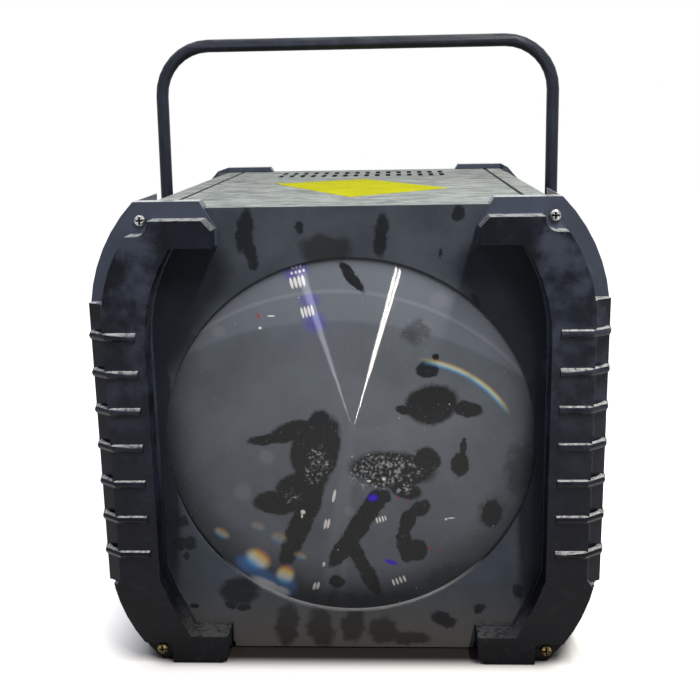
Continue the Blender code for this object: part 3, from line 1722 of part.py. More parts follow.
def pin_points(x):
    points = []
    for degrees in (90, 210, 330):
        angle = math.radians(degrees)
        across = DATA_PIN_CIRCLE * math.cos(angle)
        points.append((x + across, SOCKET_Z + DATA_PIN_CIRCLE * math.sin(angle)))
    return points


def data_in_socket():
    """Chassis socket with three pins in a round recess."""
    body = socket_body("data_in_socket", DATA_IN_X)
    mouth = BODY_REAR + GAP + SOCKET_FLANGE
    start = (DATA_IN_X, mouth + PAST, SOCKET_Z)
    cut(
        body,
        cylinder("data_in_bore", black_plastic(), DATA_BORE, start, DATA_RECESS + PAST, "-Y", 24),
    )
    for number, (x, z) in enumerate(pin_points(DATA_IN_X)):
        foot = (x, mouth - DATA_RECESS - OVERLAP, z)
        pin = cylinder(
            f"data_pin_{number}",
            zinc_steel(),
            DATA_PIN_RADIUS,
            foot,
            DATA_PIN_LENGTH + OVERLAP,
            "Y",
            8,
        )
        unite(body, pin)
    return body


def data_out_socket():
    """Chassis socket with three contact holes in a slightly sunk face."""
    body = socket_body("data_out_socket", DATA_OUT_X)
    mouth = BODY_REAR + GAP + SOCKET_FLANGE
    start = (DATA_OUT_X, mouth + PAST, SOCKET_Z)
    cut(
        body,
        cylinder(
            "data_out_face",
            black_plastic(),
            DATA_BORE,
            start,
            DATA_FACE_RECESS + PAST,
            "-Y",
            24,
        ),
    )
    for number, (x, z) in enumerate(pin_points(DATA_OUT_X)):
        hole = (x, mouth - DATA_FACE_RECESS + OVERLAP, z)
        cut(
            body,
            cylinder(
                f"contact_{number}",
                black_plastic(),
                DATA_PIN_RADIUS + GAP,
                hole,
                DATA_PIN_LENGTH,
                "-Y",
                8,
            ),
        )
    return body


def mains_inlet():
    """Chassis inlet with three flat blades in a deep recess."""
    outer = BODY_REAR + GAP
    mouth = outer + SOCKET_FLANGE
    centre = (INLET_X, SOCKET_Z)
    outline = rounded_rectangle(centre, INLET_FLANGE_WIDTH, INLET_FLANGE_HEIGHT, 4 * OVERLAP)
    body = sheet(
        "mains_inlet",
        black_plastic(),
        [outline],
        SOCKET_FLANGE,
        (0, outer + SOCKET_FLANGE / 2, 0),
    )
    for side in (-1, 1):
        rivet(body, INLET_X + side * INLET_RIVET_X, SOCKET_Z)
    case = block(
        "inlet_case",
        black_plastic(),
        (INLET_X - INLET_WIDTH / 2, outer - INLET_DEPTH, SOCKET_Z - INLET_HEIGHT / 2),
        (INLET_X + INLET_WIDTH / 2, outer + SOCKET_FLANGE - GAP, SOCKET_Z + INLET_HEIGHT / 2),
    )
    unite(body, case)
    recess = block(
        "inlet_recess",
        black_plastic(),
        (INLET_X - INLET_RECESS_WIDTH / 2, mouth - INLET_RECESS, SOCKET_Z - INLET_RECESS_HEIGHT / 2),
        (INLET_X + INLET_RECESS_WIDTH / 2, mouth + PAST, SOCKET_Z + INLET_RECESS_HEIGHT / 2),
    )
    cut(body, recess)
    floor = mouth - INLET_RECESS
    pins = ((-INLET_PIN_X, -INLET_PIN_Z), (0, INLET_PIN_Z), (INLET_PIN_X, -INLET_PIN_Z))
    for number, (dx, dz) in enumerate(pins):
        x = INLET_X + dx
        z = SOCKET_Z + dz
        blade = block(
            f"inlet_blade_{number}",
            zinc_steel(),
            (x - INLET_PIN[0] / 2, floor - OVERLAP, z - INLET_PIN[1] / 2),
            (x + INLET_PIN[0] / 2, floor + INLET_PIN_LENGTH, z + INLET_PIN[1] / 2),
        )
        unite(body, blade)
    return body


def fuse_cap_low():
    """The Y of the inner end of the fuse cap's stem."""
    return BODY_REAR + GAP - FUSE_DEPTH + FUSE_WALL + FUSE_LENGTH + 2 * GAP


def fuse_holder():
    """A closed tube through the rear panel with a round flange."""
    outer = BODY_REAR + GAP
    tube_radius = FUSE_BORE + FUSE_WALL
    profile = [
        (0, FUSE_WALL - FUSE_DEPTH),
        (FUSE_BORE, FUSE_WALL - FUSE_DEPTH),
        (FUSE_BORE, FUSE_FLANGE),
        (FUSE_FLANGE_RADIUS, FUSE_FLANGE),
        (FUSE_FLANGE_RADIUS, 0),
        (tube_radius, 0),
        (tube_radius, -FUSE_DEPTH),
        (0, -FUSE_DEPTH),
    ]
    return turned("fuse_holder", black_plastic(), profile, (FUSE_X, outer, SOCKET_Z), "Y", 20)


def fuse():
    start = (FUSE_X, BODY_REAR + GAP - FUSE_DEPTH + FUSE_WALL + GAP, SOCKET_Z)
    return cylinder("fuse", glass_tube(), FUSE_RADIUS, start, FUSE_LENGTH, "Y", 12)


def fuse_cap():
    """The slotted cap, with its origin on its turning axis."""
    seat = BODY_REAR + 2 * GAP + FUSE_FLANGE
    stem = FUSE_BORE - GAP
    profile = [
        (0, FUSE_CAP_HEIGHT),
        (FUSE_CAP_RADIUS * 0.9, FUSE_CAP_HEIGHT),
        (FUSE_CAP_RADIUS, FUSE_CAP_HEIGHT * 0.8),
        (FUSE_CAP_RADIUS, 0),
        (stem, 0),
        (stem, fuse_cap_low() - seat),
        (0, fuse_cap_low() - seat),
    ]
    cap = baked(turned("fuse_cap", black_plastic(), profile, (FUSE_X, seat, SOCKET_Z), "Y", 20))
    slot = block(
        "cap_slot",
        black_plastic(),
        (FUSE_X - FUSE_CAP_RADIUS * 0.75, seat + FUSE_CAP_HEIGHT * 0.6, SOCKET_Z - FUSE_SLOT / 2),
        (FUSE_X + FUSE_CAP_RADIUS * 0.75, seat + FUSE_CAP_HEIGHT + PAST, SOCKET_Z + FUSE_SLOT / 2),
    )
    cut(cap, slot)
    cap.data.materials.clear()
    cap.data.materials.append(black_plastic())
    return cap


def main():
    clear_scene()
    body_shell()
    front_panel()
    rear_panel()
    top_panel()
    bumpers()
    bumper_screws()
    handle()
    handle_washers()
    for hand, side, axis in HANDS:
        clamp_knob(hand, side, axis)
        clamp_stud(hand, side, axis)
    clamp_nuts()
    lens()
    lens_clips()
    lens_screws()
    led_bracket()
    led_board()
    led_lead()
    mains_lead()
    power_board()
    transformer()
    heatsink()
    fan_frame()
    fan_rotor()
    fan_guard()
    fan_screws()
    control_board()
    display_window()
    for number, x in enumerate(button_places()):
        menu_button(number + 1, x)
    data_in_socket()
    data_out_socket()
    mains_inlet()
    fuse_holder()
    fuse()
    fuse_cap()


main()
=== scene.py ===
import json
import math

import bmesh
import bpy
from mathutils import Matrix, Vector

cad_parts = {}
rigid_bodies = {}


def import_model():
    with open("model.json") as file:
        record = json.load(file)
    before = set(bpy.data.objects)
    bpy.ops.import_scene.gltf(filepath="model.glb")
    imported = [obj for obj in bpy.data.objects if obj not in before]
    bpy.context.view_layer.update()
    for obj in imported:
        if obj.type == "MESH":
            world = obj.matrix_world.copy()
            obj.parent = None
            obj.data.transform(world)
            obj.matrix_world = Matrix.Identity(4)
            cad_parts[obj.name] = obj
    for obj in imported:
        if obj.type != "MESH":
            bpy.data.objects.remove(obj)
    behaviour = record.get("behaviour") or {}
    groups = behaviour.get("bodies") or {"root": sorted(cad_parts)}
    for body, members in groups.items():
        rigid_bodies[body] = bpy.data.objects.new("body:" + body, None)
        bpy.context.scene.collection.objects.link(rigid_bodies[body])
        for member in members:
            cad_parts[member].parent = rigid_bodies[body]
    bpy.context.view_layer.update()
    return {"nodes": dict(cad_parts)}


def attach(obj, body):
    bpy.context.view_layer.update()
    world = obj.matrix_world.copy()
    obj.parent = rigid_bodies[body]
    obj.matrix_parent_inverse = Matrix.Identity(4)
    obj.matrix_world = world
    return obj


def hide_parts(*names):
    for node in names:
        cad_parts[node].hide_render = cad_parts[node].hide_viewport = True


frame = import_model()
MM = 0.001


# The studio: a pale floor under the light, a white surround, and a camera a
# little above it, turned slightly to its left, as in the photograph.


def colour_of(code):
    """A web colour as the linear colour that a shader takes."""
    channels = [int(code[i : i + 2], 16) / 255 for i in (0, 2, 4)]
    linear = [c / 12.92 if c <= 0.04045 else ((c + 0.055) / 1.055) ** 2.4 for c in channels]
    return (*linear, 1.0)


def add_node(owner, kind, links=(), values=(), **settings):
    """One shader node with its settings, its own values and what feeds it."""
    tree = owner.node_tree
    made = tree.nodes.new(kind)
    for name, value in settings.items():
        setattr(made, name, value)
    for socket, value in dict(values).items():
        made.inputs[socket].default_value = value
    for socket, source in dict(links).items():
        tree.links.new(source, made.inputs[socket])
    return made


def seen_itself(owner):
    """1 where the camera sees a thing, also mirrored or through the lens, 0 where it only lights."""
    ray = add_node(owner, "ShaderNodeLightPath")
    seen_or_mirrored = add_node(
        owner,
        "ShaderNodeMath",
        {0: ray.outputs["Is Camera Ray"], 1: ray.outputs["Is Glossy Ray"]},
        operation="MAXIMUM",
    )
    seen_through = add_node(
        owner,
        "ShaderNodeMath",
        {0: seen_or_mirrored.outputs[0], 1: ray.outputs["Is Transmission Ray"]},
        operation="MAXIMUM",
    )
    return seen_through.outputs[0]


CAMERA_PLACE = Vector((26.94, -717.9, 312.57)) * MM
CAMERA_PITCH = math.radians(13.23)
CAMERA_YAW = math.radians(-2.70)
CAMERA_ROLL = math.radians(-1.05)
CAMERA_LENS = 52.83

ahead = Vector(
    (
        math.sin(CAMERA_YAW) * math.cos(CAMERA_PITCH),
        math.cos(CAMERA_YAW) * math.cos(CAMERA_PITCH),
        -math.sin(CAMERA_PITCH),
    )
)
level = Vector((math.cos(CAMERA_YAW), -math.sin(CAMERA_YAW), 0))
upright = level.cross(ahead)
right = math.cos(CAMERA_ROLL) * level + math.sin(CAMERA_ROLL) * upright
up = -math.sin(CAMERA_ROLL) * level + math.cos(CAMERA_ROLL) * upright
camera_data = bpy.data.cameras.new("camera")
camera_data.sensor_width = 36
camera_data.lens = CAMERA_LENS
camera_data.clip_start = 10 * MM
camera = bpy.data.objects.new("camera", camera_data)
bpy.context.collection.objects.link(camera)
turn = Matrix((right, up, -ahead)).transposed().to_4x4()
camera.matrix_world = Matrix.Translation(CAMERA_PLACE) @ turn
bpy.context.scene.camera = camera

scene = bpy.context.scene
scene.view_settings.view_transform = "Standard"

# The floor is painted with a dark shadow where the light stands on it, and turns white further out.

FLOOR_HALF = 3.0
STANDING_HALF = (105 * MM, 170 * MM, 0)
PAINTED_CONTACT_SHADOW = (4 * MM, 20 * MM)
FAINT_SHADE = (6 * MM, 70 * MM)

floor_shape = bmesh.new()
bmesh.ops.create_grid(floor_shape, x_segments=1, y_segments=1, size=FLOOR_HALF)
floor_mesh = bpy.data.meshes.new("floor")
floor_shape.to_mesh(floor_mesh)
floor_shape.free()
floor = bpy.data.objects.new("floor", floor_mesh)
bpy.context.collection.objects.link(floor)

floor_paper = bpy.data.materials.new("white_paper_floor")
floor_paper.use_nodes = True
floor_paper.node_tree.nodes.clear()
floor_seen = seen_itself(floor_paper)
paper_tone = add_node(
    floor_paper,
    "ShaderNodeMix",
    {0: floor_seen},
    {6: colour_of("84827e"), 7: colour_of("ececea")},
    data_type="RGBA",
)
on_floor = add_node(floor_paper, "ShaderNodeTexCoord").outputs["Object"]
mirrored = add_node(floor_paper, "ShaderNodeVectorMath", {0: on_floor}, operation="ABSOLUTE")
clear_of_case = add_node(
    floor_paper,
    "ShaderNodeVectorMath",
    {0: mirrored.outputs[0]},
    {1: STANDING_HALF},
    operation="SUBTRACT",
)
outside = add_node(
    floor_paper,
    "ShaderNodeVectorMath",
    {0: clear_of_case.outputs[0]},
    {1: (0, 0, 0)},
    operation="MAXIMUM",
)
away = add_node(floor_paper, "ShaderNodeVectorMath", {0: outside.outputs[0]}, operation="LENGTH")
whiter = add_node(
    floor_paper,
    "ShaderNodeMapRange",
    {"Value": away.outputs["Value"]},
    {"From Min": FAINT_SHADE[0], "From Max": FAINT_SHADE[1]},
    interpolation_type="SMOOTHSTEP",
)
shaded = add_node(
    floor_paper,
    "ShaderNodeMapRange",
    {"Value": away.outputs["Value"]},
    {"From Min": PAINTED_CONTACT_SHADOW[0], "From Max": PAINTED_CONTACT_SHADOW[1]},
    interpolation_type="SMOOTHSTEP",
)
# Painted contact shadow: the floor's own colour turns dark close around the case.
painted_shadow_tone = add_node(
    floor_paper,
    "ShaderNodeMix",
    {0: shaded.outputs[0], 7: paper_tone.outputs[2]},
    {6: colour_of("2a2725")},
    data_type="RGBA",
)
paper = add_node(floor_paper, "ShaderNodeBsdfDiffuse", {"Color": painted_shadow_tone.outputs[2]})
lift = add_node(
    floor_paper,
    "ShaderNodeMath",
    {0: floor_seen, 1: whiter.outputs[0]},
    operation="MULTIPLY",
)
glow = add_node(floor_paper, "ShaderNodeEmission", {"Strength": lift.outputs[0]})
paper_sum = add_node(floor_paper, "ShaderNodeAddShader", {0: paper.outputs[0], 1: glow.outputs[0]})
add_node(floor_paper, "ShaderNodeOutputMaterial", {"Surface": paper_sum.outputs[0]})
floor.data.materials.append(floor_paper)

surround = bpy.data.worlds.new("white_surround")
surround.use_nodes = True
scene.world = surround
surround.node_tree.nodes.clear()
strength = add_node(
    surround,
    "ShaderNodeMapRange",
    {"Value": seen_itself(surround)},
    {"To Min": 0.05, "To Max": 1.0},
)
sky = add_node(
    surround,
    "ShaderNodeBackground",
    {"Strength": strength.outputs[0]},
    {"Color": colour_of("ffffff")},
)
add_node(surround, "ShaderNodeOutputWorld", {"Surface": sky.outputs[0]})

# Long narrow ceiling lamps run away from the camera: a pair to the right of the
# light and a weaker one to its left. A wide soft lamp fills in from above.

LAMPS = (
    ("strip_right_near", (362, -680, 1250), (13, 1000), 10.0, "fffaf4"),
    ("strip_right_far", (402, -680, 1250), (13, 1000), 10.0, "fffaf4"),
    ("strip_left", (-500, -640, 1250), (84, 900), 4.0, "ebebff"),
    ("soft_box", (0, -300, 1500), (1400, 1400), 2.0, "ffffff"),
)
for lamp_name, place, size, power, tone in LAMPS:
    lamp_data = bpy.data.lights.new(lamp_name, "AREA")
    lamp_data.shape = "RECTANGLE"
    lamp_data.size = size[0] * MM
    lamp_data.size_y = size[1] * MM
    lamp_data.energy = power
    lamp_data.color = colour_of(tone)[:3]
    lamp = bpy.data.objects.new(lamp_name, lamp_data)
    bpy.context.collection.objects.link(lamp)
    lamp.location = Vector(place) * MM
    lamp.visible_glossy = lamp_name != "soft_box"


# The case: sheet steel 1.2 mm thick, folded and spot welded, sprayed with a
# slate-black satin enamel. Years of shows have left dust and finger marks on it.


def new_material(name, roughness, metallic=0.0, specular=0.5):
    """A named finish. Gives the material, its shader and the object's own coordinates."""
    made = bpy.data.materials.new(name)
    made.use_nodes = True
    shader = made.node_tree.nodes["Principled BSDF"]
    shader.inputs["Roughness"].default_value = roughness
    shader.inputs["Metallic"].default_value = metallic
    shader.inputs["Specular IOR Level"].default_value = specular
    place = add_node(made, "ShaderNodeTexCoord").outputs["Object"]
    return made, shader, place


def patches(made, place, size, low, high, detail=4.0, stretch=(1, 1, 1)):
    """Soft patches from 0 to 1, about as wide as size, in millimetres."""
    spread = add_node(made, "ShaderNodeMapping", {"Vector": place}, {"Scale": stretch})
    cloud = add_node(
        made,
        "ShaderNodeTexNoise",
        {"Vector": spread.outputs[0]},
        {"Scale": 1 / (size * MM), "Detail": detail, "Roughness": 0.6},
    )
    edge = add_node(
        made,
        "ShaderNodeMapRange",
        {"Value": cloud.outputs[0]},
        {"From Min": low, "From Max": high},
        interpolation_type="SMOOTHSTEP",
    )
    return edge.outputs[0]


def specks(made, place, spacing, radius, share):
    """Round grains of dust: one in share of the cells holds one, radius in millimetres."""
    cells = add_node(
        made,
        "ShaderNodeTexVoronoi",
        {"Vector": place},
        {"Scale": 1 / (spacing * MM), "Randomness": 1.0},
    )
    round_grain = add_node(
        made,
        "ShaderNodeMapRange",
        {"Value": cells.outputs["Distance"]},
        {"From Min": radius / spacing, "From Max": 0.5 * radius / spacing},
    )
    chosen = add_node(made, "ShaderNodeSeparateColor", {0: cells.outputs["Color"]})
    kept = add_node(made, "ShaderNodeMath", {0: chosen.outputs[0]}, {1: share}, operation="LESS_THAN")
    both = add_node(
        made,
        "ShaderNodeMath",
        {0: round_grain.outputs[0], 1: kept.outputs[0]},
        operation="MULTIPLY",
    )
    return both.outputs[0]


def times(made, one, other):
    """Both masks together. Either may be a plain number."""
    made_node = add_node(made, "ShaderNodeMath", operation="MULTIPLY")
    for socket, value in ((0, one), (1, other)):
        if isinstance(value, (int, float)):
            made_node.inputs[socket].default_value = value
        else:
            made.node_tree.links.new(value, made_node.inputs[socket])
    return made_node.outputs[0]


def layer(made, under, mask, over):
    """One coat of colour over another where the mask is 1. Either may be a web colour."""
    mix = add_node(made, "ShaderNodeMix", {0: mask}, data_type="RGBA")
    for socket, value in ((6, under), (7, over)):
        if isinstance(value, str):
            mix.inputs[socket].default_value = colour_of(value)
        else:
            made.node_tree.links.new(value, mix.inputs[socket])
    return mix.outputs[2]


def facing_up(made, start, end):
    """1 on faces that look up, where dust settles, and 0 on upright ones."""
    surface = add_node(made, "ShaderNodeNewGeometry")
    parts = add_node(made, "ShaderNodeSeparateXYZ", {0: surface.outputs["Normal"]})
    slope = add_node(
        made,
        "ShaderNodeMapRange",
        {"Value": parts.outputs["Z"]},
        {"From Min": start, "From Max": end},
    )
    return slope.outputs[0]


def fade(made, place, axis, start, end, low=0.0, high=1.0):
    """From low at start to high at end, in millimetres from the middle along one axis."""
    parts = add_node(made, "ShaderNodeSeparateXYZ", {0: place})
    either_way = add_node(made, "ShaderNodeMath", {0: parts.outputs[axis]}, operation="ABSOLUTE")
    spread = add_node(
        made,
        "ShaderNodeMapRange",
        {"Value": either_way.outputs[0]},
        {"From Min": start * MM, "From Max": end * MM, "To Min": low, "To Max": high},
    )
    return spread.outputs[0]


def oval(made, place, x, z, half_width, half_height, angle, soft):
    """An oval on an upright face, in millimetres: the place within it, and 1 inside it.

    Soft is the share of its radius over which it fades out.
    """
    within = add_node(
        made,
        "ShaderNodeMapping",
        {"Vector": place},
        {
            "Location": (x * MM, 0, z * MM),
            "Rotation": (0, math.radians(angle), 0),
            "Scale": (half_width * MM, 1000.0, half_height * MM),
        },
        vector_type="TEXTURE",
    )
    near = add_node(
        made,
        "ShaderNodeTexGradient",
        {"Vector": within.outputs[0]},
        gradient_type="SPHERICAL",
    )
    inside = add_node(
        made,
        "ShaderNodeMapRange",
        {"Value": near.outputs["Fac"]},
        {"From Min": 0.0, "From Max": soft},
        interpolation_type="SMOOTHSTEP",
    )
    return within.outputs[0], inside.outputs[0]


def wiped(made, place, marks, ragged, edge=0.35):
    """1 inside finger marks on an upright face: (x, z, half width, half height, turn), millimetres.

    Ragged is how far their edges stray, in millimetres, and edge is how soft they are.
    """
    wobble = add_node(
        made,
        "ShaderNodeTexNoise",
        {"Vector": place},
        {"Scale": 1 / (7 * MM), "Detail": 4.0, "Roughness": 0.65},
    )
    stray = add_node(
        made,
        "ShaderNodeVectorMath",
        {0: wobble.outputs["Color"]},
        {1: (2 * ragged * MM, 0, 2 * ragged * MM), 2: (-ragged * MM, 0, -ragged * MM)},
        operation="MULTIPLY_ADD",
    )
    strayed = add_node(
        made,
        "ShaderNodeVectorMath",
        {0: place, 1: stray.outputs[0]},
        operation="ADD",
    )
    # One plain Mapping node feeds them all. Without it the shader needs a conversion per mark.
    shaken = add_node(made, "ShaderNodeMapping", {"Vector": strayed.outputs[0]})
    grown = 1 + edge / 2
    total = None
    for x, z, width, height, angle in marks:
        mark = oval(
            made, shaken.outputs[0], x, z, width * grown, height * grown, angle, edge / grown
        )[1]
        if total is None:
            total = mark
        else:
            joined = add_node(made, "ShaderNodeMath", {0: total, 1: mark}, operation="MAXIMUM")
            total = joined.outputs[0]
    return total


def relief(made, shader, place, grain, height, edge_radius=0.5):
    """The fine texture of a surface and the small round on its edges, in millimetres."""
    rounded = add_node(made, "ShaderNodeBevel", values={"Radius": edge_radius * MM}, samples=4)
    cloud = add_node(
        made,
        "ShaderNodeTexNoise",
        {"Vector": place},
        {"Scale": 1 / (grain * MM), "Detail": 2.0},
    )
    bump = add_node(
        made,
        "ShaderNodeBump",
        {"Height": cloud.outputs[0], "Normal": rounded.outputs[0]},
        {"Distance": height * MM, "Strength": 1.0},
    )
    made.node_tree.links.new(bump.outputs[0], shader.inputs["Normal"])


def uneven_gloss(made, shader, mask, low, high):
    """Roughness from low where the mask is 0 to high where it is 1."""
    spread = add_node(
        made,
        "ShaderNodeMapRange",
        {"Value": mask},
        {"To Min": low, "To Max": high},
    )
    made.node_tree.links.new(spread.outputs[0], shader.inputs["Roughness"])


def paint(made, shader, colour):
    """Gives the shader its finished colour."""
    made.node_tree.links.new(colour, shader.inputs["Base Color"])


def dress(node, material):
    """Gives every face of a CAD node one finish."""
    for slot in frame["nodes"][node].material_slots:
        slot.material = material


# Satin enamel on the front panel: slate grey under a film of dust, near black where fingers have
# wiped it, and warmer towards the bottom. Painted shadows darken it under the bumper lugs and beside
# the bumpers.

PANEL_MARKS = (
    (-55.0, 249.0, 4.6, 12.5, 8),
    (-52.0, 236.0, 3.2, 9.0, -14),
    (-25.6, 250.2, 2.7, 3.2, 0),
    (18.7, 245.8, 3.8, 11.9, 4),
    (51.5, 235.1, 0.9, 2.7, 0),
    (60.6, 257.1, 3.2, 4.3, 0),
    (69.9, 209.8, 1.3, 4.9, -35),
    (-98.8, 80.2, 4.3, 3.8, 0),
    (-100.7, 67.0, 3.8, 4.3, 20),
    (-94.3, 67.0, 3.8, 4.3, -20),
    (-97.0, 59.5, 2.2, 2.2, 0),
    (-99.3, 106.7, 2.2, 6.5, -20),
    (-67.1, 36.6, 11.3, 9.2, 0),
    (-73.1, 27.6, 3.8, 2.7, 0),
    (-65.4, 25.7, 4.3, 2.7, 0),
    (-95.2, 26.9, 3.2, 1.6, -20),
    (53.3, 19.1, 7.6, 4.3, 25),
    (73.7, 25.7, 3.8, 2.7, 0),
    (96.2, 36.8, 3.2, 4.9, 0),
)
PANEL_HAZES = (
    (-11.7, 238.0, 14.0, 8.5, 0),
    (-39.0, 15.4, 6.5, 15.0, 5),
    (-19.4, 12.9, 7.6, 13.0, -8),
    (-0.4, 15.0, 7.0, 10.8, 10),
    (17.3, 12.2, 8.6, 9.0, 30),
    (33.2, 6.8, 11.8, 4.3, 0),
)
# Painted shadows on the panel: under each lug and along the bumpers' inner edges.
PANEL_PAINTED_SHADOWS = (
    (-102.0, 210.0, 24.0, 52.0, 22),
    (-90.0, 226.0, 24.0, 22.0, 0),
    (92.0, 204.0, 30.0, 46.0, 8),
    (84.0, 226.0, 26.0, 20.0, 0),
    (104.0, 100.0, 9.0, 90.0, 0),
    (-106.0, 120.0, 7.0, 80.0, 0),
)

enamel, shader, place = new_material("satin_enamel_front", 0.5, specular=0.07)
film = patches(enamel, place, 38, 0.3, 0.75)
tone = layer(enamel, "454c55", film, "59616b")
# Warmer and paler towards the bottom.
warmer_low_down = fade(enamel, place, "Z", 40, 6, high=0.85)
tone = layer(enamel, tone, warmer_low_down, "67635f")
# Painted shadow under the lugs and beside the bumpers.
painted_shadows = wiped(enamel, place, PANEL_PAINTED_SHADOWS, 2, 0.5)
tone = layer(enamel, tone, times(enamel, painted_shadows, 0.78), "10131d")
hazes = wiped(enamel, place, PANEL_HAZES, 5, 0.5)
tone = layer(enamel, tone, times(enamel, hazes, 0.75), "2b2a29")
broken = patches(enamel, place, 3.5, 0.08, 0.42, 5.0)
marks = times(enamel, wiped(enamel, place, PANEL_MARKS, 3.6, 0.45), broken)
tone = layer(enamel, tone, times(enamel, marks, 0.85), "16181c")
grains = specks(enamel, place, 6.0, 0.28, 0.3)
tone = layer(enamel, tone, times(enamel, grains, 0.55), "8d9499")
paint(enamel, shader, tone)
uneven_gloss(enamel, shader, marks, 0.55, 0.38)
relief(enamel, shader, place, 0.8, 0.012)
dress("front_panel", enamel)

# The lid and the strips beside it look up, so dust lies thick on them and has
# been dragged sideways by cloths and sleeves.

LID_SEAM_X = 101.0
LID_SEAM_HALF = 1.3

enamel, shader, place = new_material("satin_enamel_dusty", 0.62, specular=0.15)
drag = patches(enamel, place, 7, 0.33, 0.62, 8.0, (0.45, 1, 1))
fine = patches(enamel, place, 1.6, 0.38, 0.62, 4.0, (0.6, 1, 1))
looking_up = facing_up(enamel, 0.4, 0.9)
dust = layer(enamel, "5c6465", drag, "b0b7b3")
dust = layer(enamel, dust, times(enamel, fine, 0.7), "848c89")
side = layer(enamel, "30343a", patches(enamel, place, 30, 0.35, 0.7), "3d4249")
tone = layer(enamel, side, looking_up, dust)
across = add_node(enamel, "ShaderNodeSeparateXYZ", {0: place})
sideways = add_node(enamel, "ShaderNodeMath", {0: across.outputs["X"]}, operation="ABSOLUTE")
seam = add_node(
    enamel,
    "ShaderNodeMath",
    {0: sideways.outputs[0]},
    {1: LID_SEAM_X * MM, 2: LID_SEAM_HALF * MM},
    operation="COMPARE",
)
tone = layer(enamel, tone, times(enamel, seam.outputs[0], looking_up), "15171a")
paint(enamel, shader, tone)
relief(enamel, shader, place, 0.8, 0.012)
dress("top_panel", enamel)
dress("body_shell", enamel)

# The rear panel is upright and out of reach, so its enamel has kept an even slate black.

enamel, shader, place = new_material("satin_enamel_rear", 0.5, specular=0.3)
film = patches(enamel, place, 34, 0.35, 0.7)
tone = layer(enamel, "30343a", film, "3c4148")
grains = specks(enamel, place, 7.0, 0.25, 0.3)
tone = layer(enamel, tone, times(enamel, grains, 0.4), "8d9499")
paint(enamel, shader, tone)
relief(enamel, shader, place, 0.8, 0.012)
dress("rear_panel", enamel)


# Four corner bumpers, injection moulded in charcoal ABS, glossy from handling.
# Each hooks over the lid and under the case and is held by two screws.


def node_body(node):
    """The body that a CAD node moves with."""
    return frame["nodes"][node].parent.name.removeprefix("body:")


def smooth_copy(node, material, sharp=30):
    """A CAD node's shape, merged, with its curves shaded smooth. It stands for the node."""
    shape = bmesh.new()
    shape.from_mesh(frame["nodes"][node].data)
    bmesh.ops.remove_doubles(shape, verts=shape.verts, dist=0.01 * MM)
    bmesh.ops.dissolve_limit(
        shape,
        angle_limit=math.radians(0.5),
        verts=shape.verts,
        edges=shape.edges,
    )
    mesh = bpy.data.meshes.new(f"{node}_finished")
    shape.to_mesh(mesh)
    shape.free()
    mesh.shade_smooth()
    mesh.set_sharp_from_angle(angle=math.radians(sharp))
    copy = bpy.data.objects.new(f"{node}_finished", mesh)
    bpy.context.collection.objects.link(copy)
    copy.data.materials.append(material)
    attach(copy, node_body(node))
    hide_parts(node)
    return copy


# ABS looks near black with a blue cast, cloudy in patches on its upper part. Painted light makes it
# paler towards the top and painted shade darker low down. Its flat up-facing edges hold pale dust,
# painted brighter as a highlight, fading out above the feet.
abs_plastic, shader, place = new_material("charcoal_abs_moulded", 0.26, specular=0.1)
handled = patches(abs_plastic, place, 26, 0.35, 0.7, 3.0)
tone = layer(abs_plastic, "0d111b", handled, "1b202c")
# Painted shade: darker towards the feet.
painted_low_shade = fade(abs_plastic, place, "Z", 110, 40, high=0.8)
tone = layer(abs_plastic, tone, painted_low_shade, "0a0b0e")
# Painted light: the cloudy patches and the paler upper rim fade in towards the top.
upper_wear_and_light = fade(abs_plastic, place, "Z", 90, 235)
off_lug = fade(abs_plastic, place, "X", 96, 104)
outer = times(abs_plastic, upper_wear_and_light, off_lug)
cloudy = patches(abs_plastic, place, 20, 0.4, 0.66, 6.0)
tone = layer(abs_plastic, tone, times(abs_plastic, outer, cloudy), "474f5f")
set_back = fade(abs_plastic, place, "Y", 171, 169)
high_rim = times(abs_plastic, set_back, upper_wear_and_light)
tone = layer(abs_plastic, tone, times(abs_plastic, high_rim, 0.85), "525a6a")
grime = patches(abs_plastic, place, 6, 0.5, 0.8, 6.0)
tone = layer(abs_plastic, tone, times(abs_plastic, grime, 0.22), "454a52")
grains = specks(abs_plastic, place, 5.0, 0.24, 0.3)
tone = layer(abs_plastic, tone, times(abs_plastic, grains, 0.5), "9aa0a6")
# Pale dust on faces that look up, painted brighter as a highlight, fading out above the feet.
fades_out_low = fade(abs_plastic, place, "Z", 34, 60, 0.1, 0.95)
looking_up = times(abs_plastic, facing_up(abs_plastic, 0.5, 0.98), fades_out_low)
dust_and_highlight_break = patches(abs_plastic, place, 2.5, 0.25, 0.58, 4.0)
tone = layer(abs_plastic, tone, times(abs_plastic, looking_up, dust_and_highlight_break), "c2c6c6")
paint(abs_plastic, shader, tone)
uneven_gloss(abs_plastic, shader, handled, 0.2, 0.34)
relief(abs_plastic, shader, place, 1.4, 0.012, 0.8)
for corner in ("front_left", "front_right", "rear_left", "rear_right"):
    smooth_copy(f"bumper_{corner}", abs_plastic, 16)


# Bumper screws: pan-head self-tappers with a cross recess, zinc plated. The
# upper ones are bright, the low ones have gone brassy with grease and dirt.

# Zinc plating is a bluish white metal, dulled in small spots.
zinc, shader, place = new_material("zinc_plated_steel", 0.32, metallic=1.0)
dull = patches(zinc, place, 1.6, 0.35, 0.7)
paint(zinc, shader, layer(zinc, "b9bbbd", dull, "6f7072"))
uneven_gloss(zinc, shader, dull, 0.25, 0.5)
relief(zinc, shader, place, 0.4, 0.008, 0.25)

